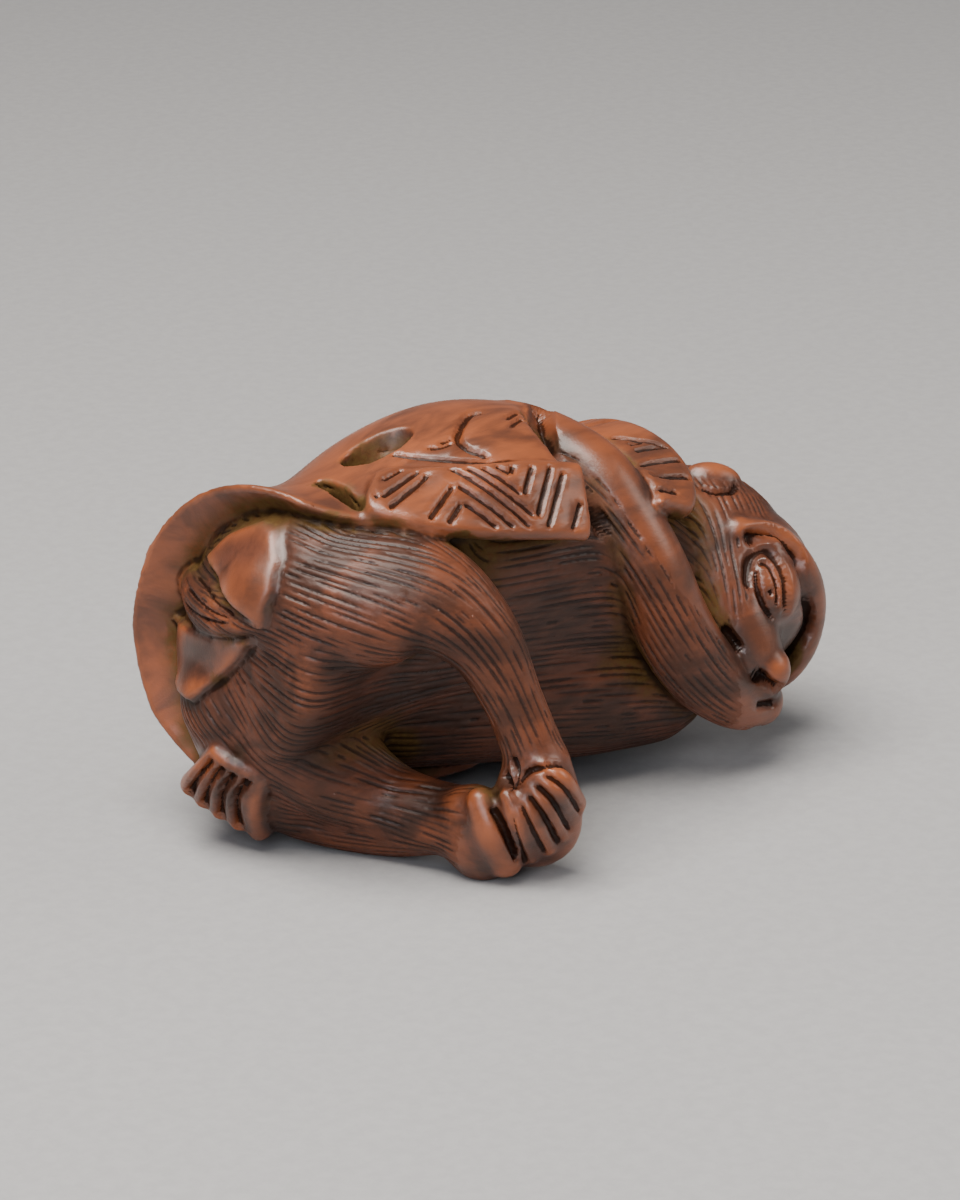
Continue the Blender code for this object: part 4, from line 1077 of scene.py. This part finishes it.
def finished_mesh(sizes):
    """The carved figure with its hair cut in, thinned, and with what its finish reads stored on it."""
    smooth = plain_skin()
    tree = nearest_face_tree(smooth)
    middles, normals = face_rows(smooth)
    has_hair, is_cloth = hair_cover(middles)
    spacing, length = sizes.hair_spacing * 1000.0, sizes.hair_length * 1000.0
    cuts = Cuts(combed(tree, middles, normals, has_hair, spacing, length))
    broad = swell(smooth, BROAD_ROUNDS)
    face_broad = np.array([broad[list(face.vertices)].mean() for face in smooth.polygons])
    sample = np.random.default_rng(3).permutation(len(middles))[:SHADE_PLACES]
    closed = shut_in(tree, middles[sample], normals[sample], SHADE_REACH)
    closed_tree = tree_of_points(middles[sample])

    fine = worked(smooth, ("SUBSURF", {"levels": 1, "render_levels": 1}))
    carve(fine, fret_strokes() + face_strokes() + coat_strokes() + limb_strokes())
    points, facing = vertex_data(fine)
    fine_tree = tree_of_points(points)
    standing = swell(fine, FINE_ROUNDS)
    hairy = np.array([has_hair[tree.find_nearest(Vector(p))[2]] for p in points])
    cut = np.zeros(len(points))
    cut[hairy] = cuts.share_at(points[hairy], facing[hairy])
    fine.vertices.foreach_set("co", (points - facing * (cut * HAIR_DEPTH)[:, None]).ravel())
    fine.update()
    kept = thinned(fine, sizes.faces_kept)

    points, facing = vertex_data(kept)
    near = [tree.find_nearest(Vector(p))[2] for p in points]
    same = [fine_tree.find(p)[1] for p in points]
    cut = cuts.share_at(points, facing) * has_hair[near]
    shade = np.empty(len(points))
    for i, point in enumerate(points):
        found = closed_tree.find_n(point, 4)
        weights = np.array([1.0 / (distance + 0.2) for _, _, distance in found])
        shade[i] = (weights * closed[[index for _, index, _ in found]]).sum() / weights.sum()
    values = (cut, shade, standing[same], face_broad[near], is_cloth[near], has_hair[near])
    for name, value in zip(FINISH_READS, values):
        stored(kept, name, value)
    return kept


# The photograph's view and its soft light, in metres
VIEW_AZIMUTH = -42.0
VIEW_ELEVATION = 20.0
VIEW_DISTANCE = 0.33
VIEW_POINT = Vector((-0.00233, 0.0009, 0.01139))
SENSOR = 36.0
LENS_REACH = 4.125
SHIFT_UP = 1.0 / 30.0
PAPER_REACH = 2.0
LIT_POINT = Vector((0.0, 0.0, 0.01))
WORLD_STRENGTH = 0.22
SOFT_LIGHTS = (
    ("Overhead softbox", (-0.14, -0.02, 0.40), 4.6, 0.34, 0.28, "#FFF8F0"),
    ("Left softbox", (-0.42, -0.30, 0.26), 1.5, 0.30, 0.30, "#F4F6FF"),
    ("Right softbox", (0.38, -0.34, 0.30), 0.9, 0.25, 0.30, "#FFF8F0"),
)


def linear(hex_colour):
    """A colour given as sRGB hex, in linear light."""
    channels = [int(hex_colour[i:i + 2], 16) / 255.0 for i in (1, 3, 5)]
    return tuple(c / 12.92 if c <= 0.04045 else ((c + 0.055) / 1.055) ** 2.4 for c in channels)


def add_node(tree, kind, inputs=(), **settings):
    """Adds a node, with its settings and what goes into it: values, or the sockets of other nodes."""
    node = tree.nodes.new(kind)
    for name, value in settings.items():
        setattr(node, name, value)
    for name, value in dict(inputs).items():
        if isinstance(value, bpy.types.NodeSocket):
            tree.links.new(value, node.inputs[name])
        else:
            node.inputs[name].default_value = value
    return node


def attribute(tree, name):
    return add_node(tree, "ShaderNodeAttribute", attribute_name=name, attribute_type="GEOMETRY").outputs["Fac"]


def stretched(tree, place, *scale):
    return add_node(tree, "ShaderNodeMapping", {"Vector": place, "Scale": scale}).outputs["Vector"]


def spread(tree, value, low, high, to_low=0.0, to_high=1.0):
    """A value taken from one range to another and held there."""
    ranges = {"Value": value, "From Min": low, "From Max": high, "To Min": to_low, "To Max": to_high}
    return add_node(tree, "ShaderNodeMapRange", ranges, interpolation_type="SMOOTHSTEP").outputs["Result"]


def combined(tree, first, second, operation="MULTIPLY"):
    """Two values multiplied, or put together in another way, and held between 0 and 1."""
    inputs = {0: first, 1: second}
    return add_node(tree, "ShaderNodeMath", inputs, operation=operation, use_clamp=True).outputs[0]


def mixed(tree, share, first, second):
    """A share of the second colour over the first, each a node's colour or three numbers."""
    first, second = (c if isinstance(c, bpy.types.NodeSocket) else (*c, 1.0) for c in (first, second))
    return add_node(tree, "ShaderNodeMix", {0: share, 6: first, 7: second}, data_type="RGBA").outputs[2]


def noise(tree, place, scale, detail, roughness=0.5, distortion=0.0):
    inputs = {"Vector": place, "Scale": scale, "Detail": detail,
              "Roughness": roughness, "Distortion": distortion}
    return add_node(tree, "ShaderNodeTexNoise", inputs).outputs["Fac"]


def bumped(tree, shader, height, strength, distance):
    bump = add_node(tree, "ShaderNodeBump", {"Strength": strength, "Distance": distance, "Height": height})
    tree.links.new(bump.outputs["Normal"], shader.inputs["Normal"])


def new_material(name):
    """A material, its tree of nodes, its shader, and the place on the object that its textures read."""
    material = bpy.data.materials.new(name)
    material.use_nodes = True
    tree = material.node_tree
    return material, tree, tree.nodes["Principled BSDF"], add_node(tree, "ShaderNodeTexCoord").outputs["Object"]


def stained_boxwood(colours):
    """Boxwood, cut by hand, stained red-brown and polished to a soft shine by handling.

    Boxwood is even and close, so the colour comes from the stain: dark where it lay in the cuts, with all fine
    creases darkened nearly black, partly that stain and partly painted shade; orange where years of handling
    wore it off the edges, and on the raised forms that orange is also a painted highlight; and a dull gold dust
    in the hollows that no finger reaches.
    """
    material, tree, shader, place = new_material("Stained boxwood, hand rubbed")
    # Growth streaks of boxwood are under a millimetre wide and many times as long
    streaks = noise(tree, stretched(tree, place, 180.0, 1500.0, 1500.0), 1.0, 3.0, 0.6)
    # The stain took unevenly over patches of 4 to 11 mm, longer along the grain
    patches = noise(tree, stretched(tree, place, 90.0, 250.0, 250.0), 1.0, 4.0, 0.6, 0.5)
    specks = noise(tree, place, 2600.0, 2.0, 0.7)

    cut, shut, standing, broad, cloth, hairy = (attribute(tree, name) for name in FINISH_READS)
    # Fine creases, where the skin sits below its near surroundings; below they are darkened nearly black,
    # partly as stain in the cuts and partly as painted shade
    crease = spread(tree, standing, -0.012, -0.075)
    # Raised forms; below they are made lighter orange, as wear of handling and as a painted highlight
    raised_wear_and_highlight = spread(tree, broad, 0.0, 0.24)
    hollow = spread(tree, shut, 0.06, 0.26)

    stain = mixed(tree, spread(tree, patches, 0.38, 0.62), colours.body, colours.dark)
    stain = mixed(tree, spread(tree, streaks, 0.45, 0.7, 0.0, 0.5), stain, colours.dark)
    rubbed_and_highlight = combined(tree, raised_wear_and_highlight, spread(tree, patches, 0.7, 0.35, 0.35, 0.9))
    on_cloth = combined(tree, cloth, spread(tree, patches, 0.72, 0.32, 0.15, 0.85))
    # The lighter orange: wear on the coat, and wear with a painted highlight on the raised forms, less in
    # closed-in places and on hair
    worn_and_highlight = combined(tree, rubbed_and_highlight, on_cloth, "MAXIMUM")
    worn_and_highlight = combined(tree, worn_and_highlight, spread(tree, shut, 0.45, 0.12, 0.0, 1.0))
    worn_and_highlight = combined(tree, worn_and_highlight, spread(tree, hairy, 0.0, 1.0, 1.0, 0.55))
    stain = mixed(tree, worn_and_highlight, stain, colours.rubbed_and_highlight)
    dust = combined(tree, hollow, spread(tree, specks, 0.3, 0.65, 0.45, 0.9))
    stain = mixed(tree, dust, stain, colours.dust)
    # Nearly black in the fine creases: partly stain in the cuts, partly painted shade
    stain = mixed(tree, combined(tree, crease, 0.85), stain, colours.ink_and_shade)
    stain = mixed(tree, combined(tree, spread(tree, cut, 0.12, 0.75), 0.68), stain, colours.ink_and_shade)
    tree.links.new(stain, shader.inputs["Base Color"])

    on_hair = spread(tree, hairy, 0.0, 1.0, 0.0, 0.12)
    dull = combined(tree, on_hair, spread(tree, patches, 0.3, 0.7, 0.32, 0.4), "ADD")
    dull = combined(tree, combined(tree, hollow, 0.3), dull, "ADD")
    tree.links.new(dull, shader.inputs["Roughness"])
    clean = combined(tree, spread(tree, shut, 0.05, 0.3, 0.6, 0.06), spread(tree, crease, 0.0, 0.8, 1.0, 0.15))
    clean = combined(tree, clean, spread(tree, hairy, 0.0, 1.0, 1.0, 0.55))
    tree.links.new(clean, shader.inputs["Specular IOR Level"])
    shader.inputs["IOR"].default_value = 1.5
    shader.inputs["Coat Weight"].default_value = 0.08
    shader.inputs["Coat Roughness"].default_value = 0.25
    # Pores and rubbing marks a tenth of a millimetre across
    marks = noise(tree, stretched(tree, place, 2200.0, 9000.0, 9000.0), 1.0, 2.0, 0.6)
    bumped(tree, shader, marks, 0.22, 0.00006)
    return material


def studio_paper(colour):
    """Matt background paper, pale grey, with the faint tooth of its fibres."""
    material, tree, shader, place = new_material("Matt paper")
    tooth = noise(tree, place, 900.0, 3.0, 0.6)
    tint = mixed(tree, spread(tree, tooth, 0.3, 0.7), colour, [c * 0.93 for c in colour])
    tree.links.new(tint, shader.inputs["Base Color"])
    shader.inputs["Roughness"].default_value = 0.9
    bumped(tree, shader, tooth, 0.25, 0.0002)
    return material


def size_setting(name, description, default, low, high):
    return bpy.props.FloatProperty(name=name, description=description, default=default, min=low, max=high,
                                   precision=5, subtype="DISTANCE", unit="LENGTH")


def colour_setting(name, description, hex_colour):
    return bpy.props.FloatVectorProperty(name=name, description=description, default=linear(hex_colour),
                                         subtype="COLOR", min=0.0, max=1.0)


class NetsukeSizes(bpy.types.PropertyGroup):
    """Sizes of the hair and the fineness of the mesh."""

    hair_spacing: size_setting("Hair spacing", "Distance between neighbouring cuts of hair",
                               0.00042, 0.0003, 0.002)
    hair_length: size_setting("Hair length", "Usual length of one cut of hair", 0.0078, 0.001, 0.02)
    faces_kept: bpy.props.IntProperty(name="Triangles kept", default=196000, min=5000, max=199000,
                                      description="Triangles left in the finished carving")


class NetsukeColours(bpy.types.PropertyGroup):
    """Colours of the stain, some also used as painted highlight and painted shade, and of the stage."""

    body: colour_setting("Stain", "Red-brown of the stained wood", "#5A3120")
    dark: colour_setting("Dark stain", "Where the stain took deeply", "#331C12")
    # Orange of the wood that handling wore, also used as a painted highlight on the raised forms
    rubbed_and_highlight: colour_setting("Rubbed wood", "Orange of the edges that handling wore", "#8E4C29")
    # Nearly black stain of the cuts, also used as painted shade in the fine creases
    ink_and_shade: colour_setting("Cut", "Nearly black stain left in the cuts", "#150B08")
    dust: colour_setting("Dust", "Dull gold dust in the hollows", "#544022")
    paper: colour_setting("Paper", "Pale grey of the background paper", "#9C9C9D")


class NETSUKE_OT_carve(bpy.types.Operator):
    """Carves the monkey and gives it its stained finish"""

    bl_idname = "netsuke.carve"
    bl_label = "Carve the monkey"

    def execute(self, context):
        mesh = finished_mesh(context.scene.netsuke_sizes)
        rested(mesh)
        mesh.shade_smooth()
        mesh.name = "carved_boxwood"
        monkey = bpy.data.objects.new("carved_boxwood", mesh)
        context.scene.collection.objects.link(monkey)
        mesh.materials.clear()
        mesh.materials.append(stained_boxwood(context.scene.netsuke_colours))
        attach(monkey, "root")
        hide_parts("carved_monkey")
        return {"FINISHED"}


class NETSUKE_OT_stage(bpy.types.Operator):
    """Lays the paper, sets the soft lights and points the camera"""

    bl_idname = "netsuke.stage"
    bl_label = "Set the stage"

    def execute(self, context):
        scene = context.scene
        sheet = bpy.data.meshes.new("paper")
        corners = [(x * PAPER_REACH, y * PAPER_REACH, 0) for x, y in ((-1, -1), (1, -1), (1, 1), (-1, 1))]
        sheet.from_pydata(corners, [], [(0, 1, 2, 3)])
        paper = bpy.data.objects.new("paper", sheet)
        scene.collection.objects.link(paper)
        sheet.materials.append(studio_paper(scene.netsuke_colours.paper))

        world = bpy.data.worlds.new("Studio")
        scene.world = world
        world.use_nodes = True
        sky = world.node_tree.nodes["Background"]
        sky.inputs["Color"].default_value = (*linear("#E6E8EC"), 1.0)
        sky.inputs["Strength"].default_value = WORLD_STRENGTH
        for name, place, power, width, height, colour in SOFT_LIGHTS:
            lamp = bpy.data.lights.new(name, "AREA")
            lamp.shape = "RECTANGLE"
            lamp.size, lamp.size_y = width, height
            lamp.energy = power
            lamp.color = linear(colour)
            light = bpy.data.objects.new(name, lamp)
            light.location = place
            light.rotation_euler = (LIT_POINT - Vector(place)).to_track_quat("-Z", "Y").to_euler()
            scene.collection.objects.link(light)

        lens = bpy.data.cameras.new("Camera")
        lens.sensor_fit = "VERTICAL"
        lens.sensor_height = SENSOR
        lens.lens = SENSOR * LENS_REACH
        lens.shift_y = SHIFT_UP
        lens.clip_start, lens.clip_end = 0.01, 20.0
        camera = bpy.data.objects.new("Camera", lens)
        turn, rise = math.radians(VIEW_AZIMUTH), math.radians(VIEW_ELEVATION)
        back = Vector((math.sin(turn) * math.cos(rise), -math.cos(turn) * math.cos(rise), math.sin(rise)))
        camera.location = VIEW_POINT + back * VIEW_DISTANCE
        camera.rotation_euler = (-back).to_track_quat("-Z", "Y").to_euler()
        scene.collection.objects.link(camera)
        scene.camera = camera
        return {"FINISHED"}


class NETSUKE_PT_panel(bpy.types.Panel):
    """Sizes, colours and steps of the netsuke"""

    bl_label = "Boxwood monkey"
    bl_idname = "NETSUKE_PT_panel"
    bl_space_type = "VIEW_3D"
    bl_region_type = "UI"
    bl_category = "Netsuke"

    def draw(self, context):
        layout = self.layout
        for group in (context.scene.netsuke_sizes, context.scene.netsuke_colours):
            column = layout.column(align=True)
            for name in group.__annotations__:
                column.prop(group, name)
        for step in STEPS:
            layout.operator(step.bl_idname)


STEPS = (NETSUKE_OT_carve, NETSUKE_OT_stage)
CLASSES = (NetsukeSizes, NetsukeColours, *STEPS, NETSUKE_PT_panel)


def register():
    for each in CLASSES:
        bpy.utils.register_class(each)
    bpy.types.Scene.netsuke_sizes = bpy.props.PointerProperty(type=NetsukeSizes)
    bpy.types.Scene.netsuke_colours = bpy.props.PointerProperty(type=NetsukeColours)


def unregister():
    del bpy.types.Scene.netsuke_colours
    del bpy.types.Scene.netsuke_sizes
    for each in reversed(CLASSES):
        bpy.utils.unregister_class(each)


def main():
    register()
    bpy.ops.netsuke.stage()
    bpy.ops.netsuke.carve()


if __name__ == "__main__":
    main()
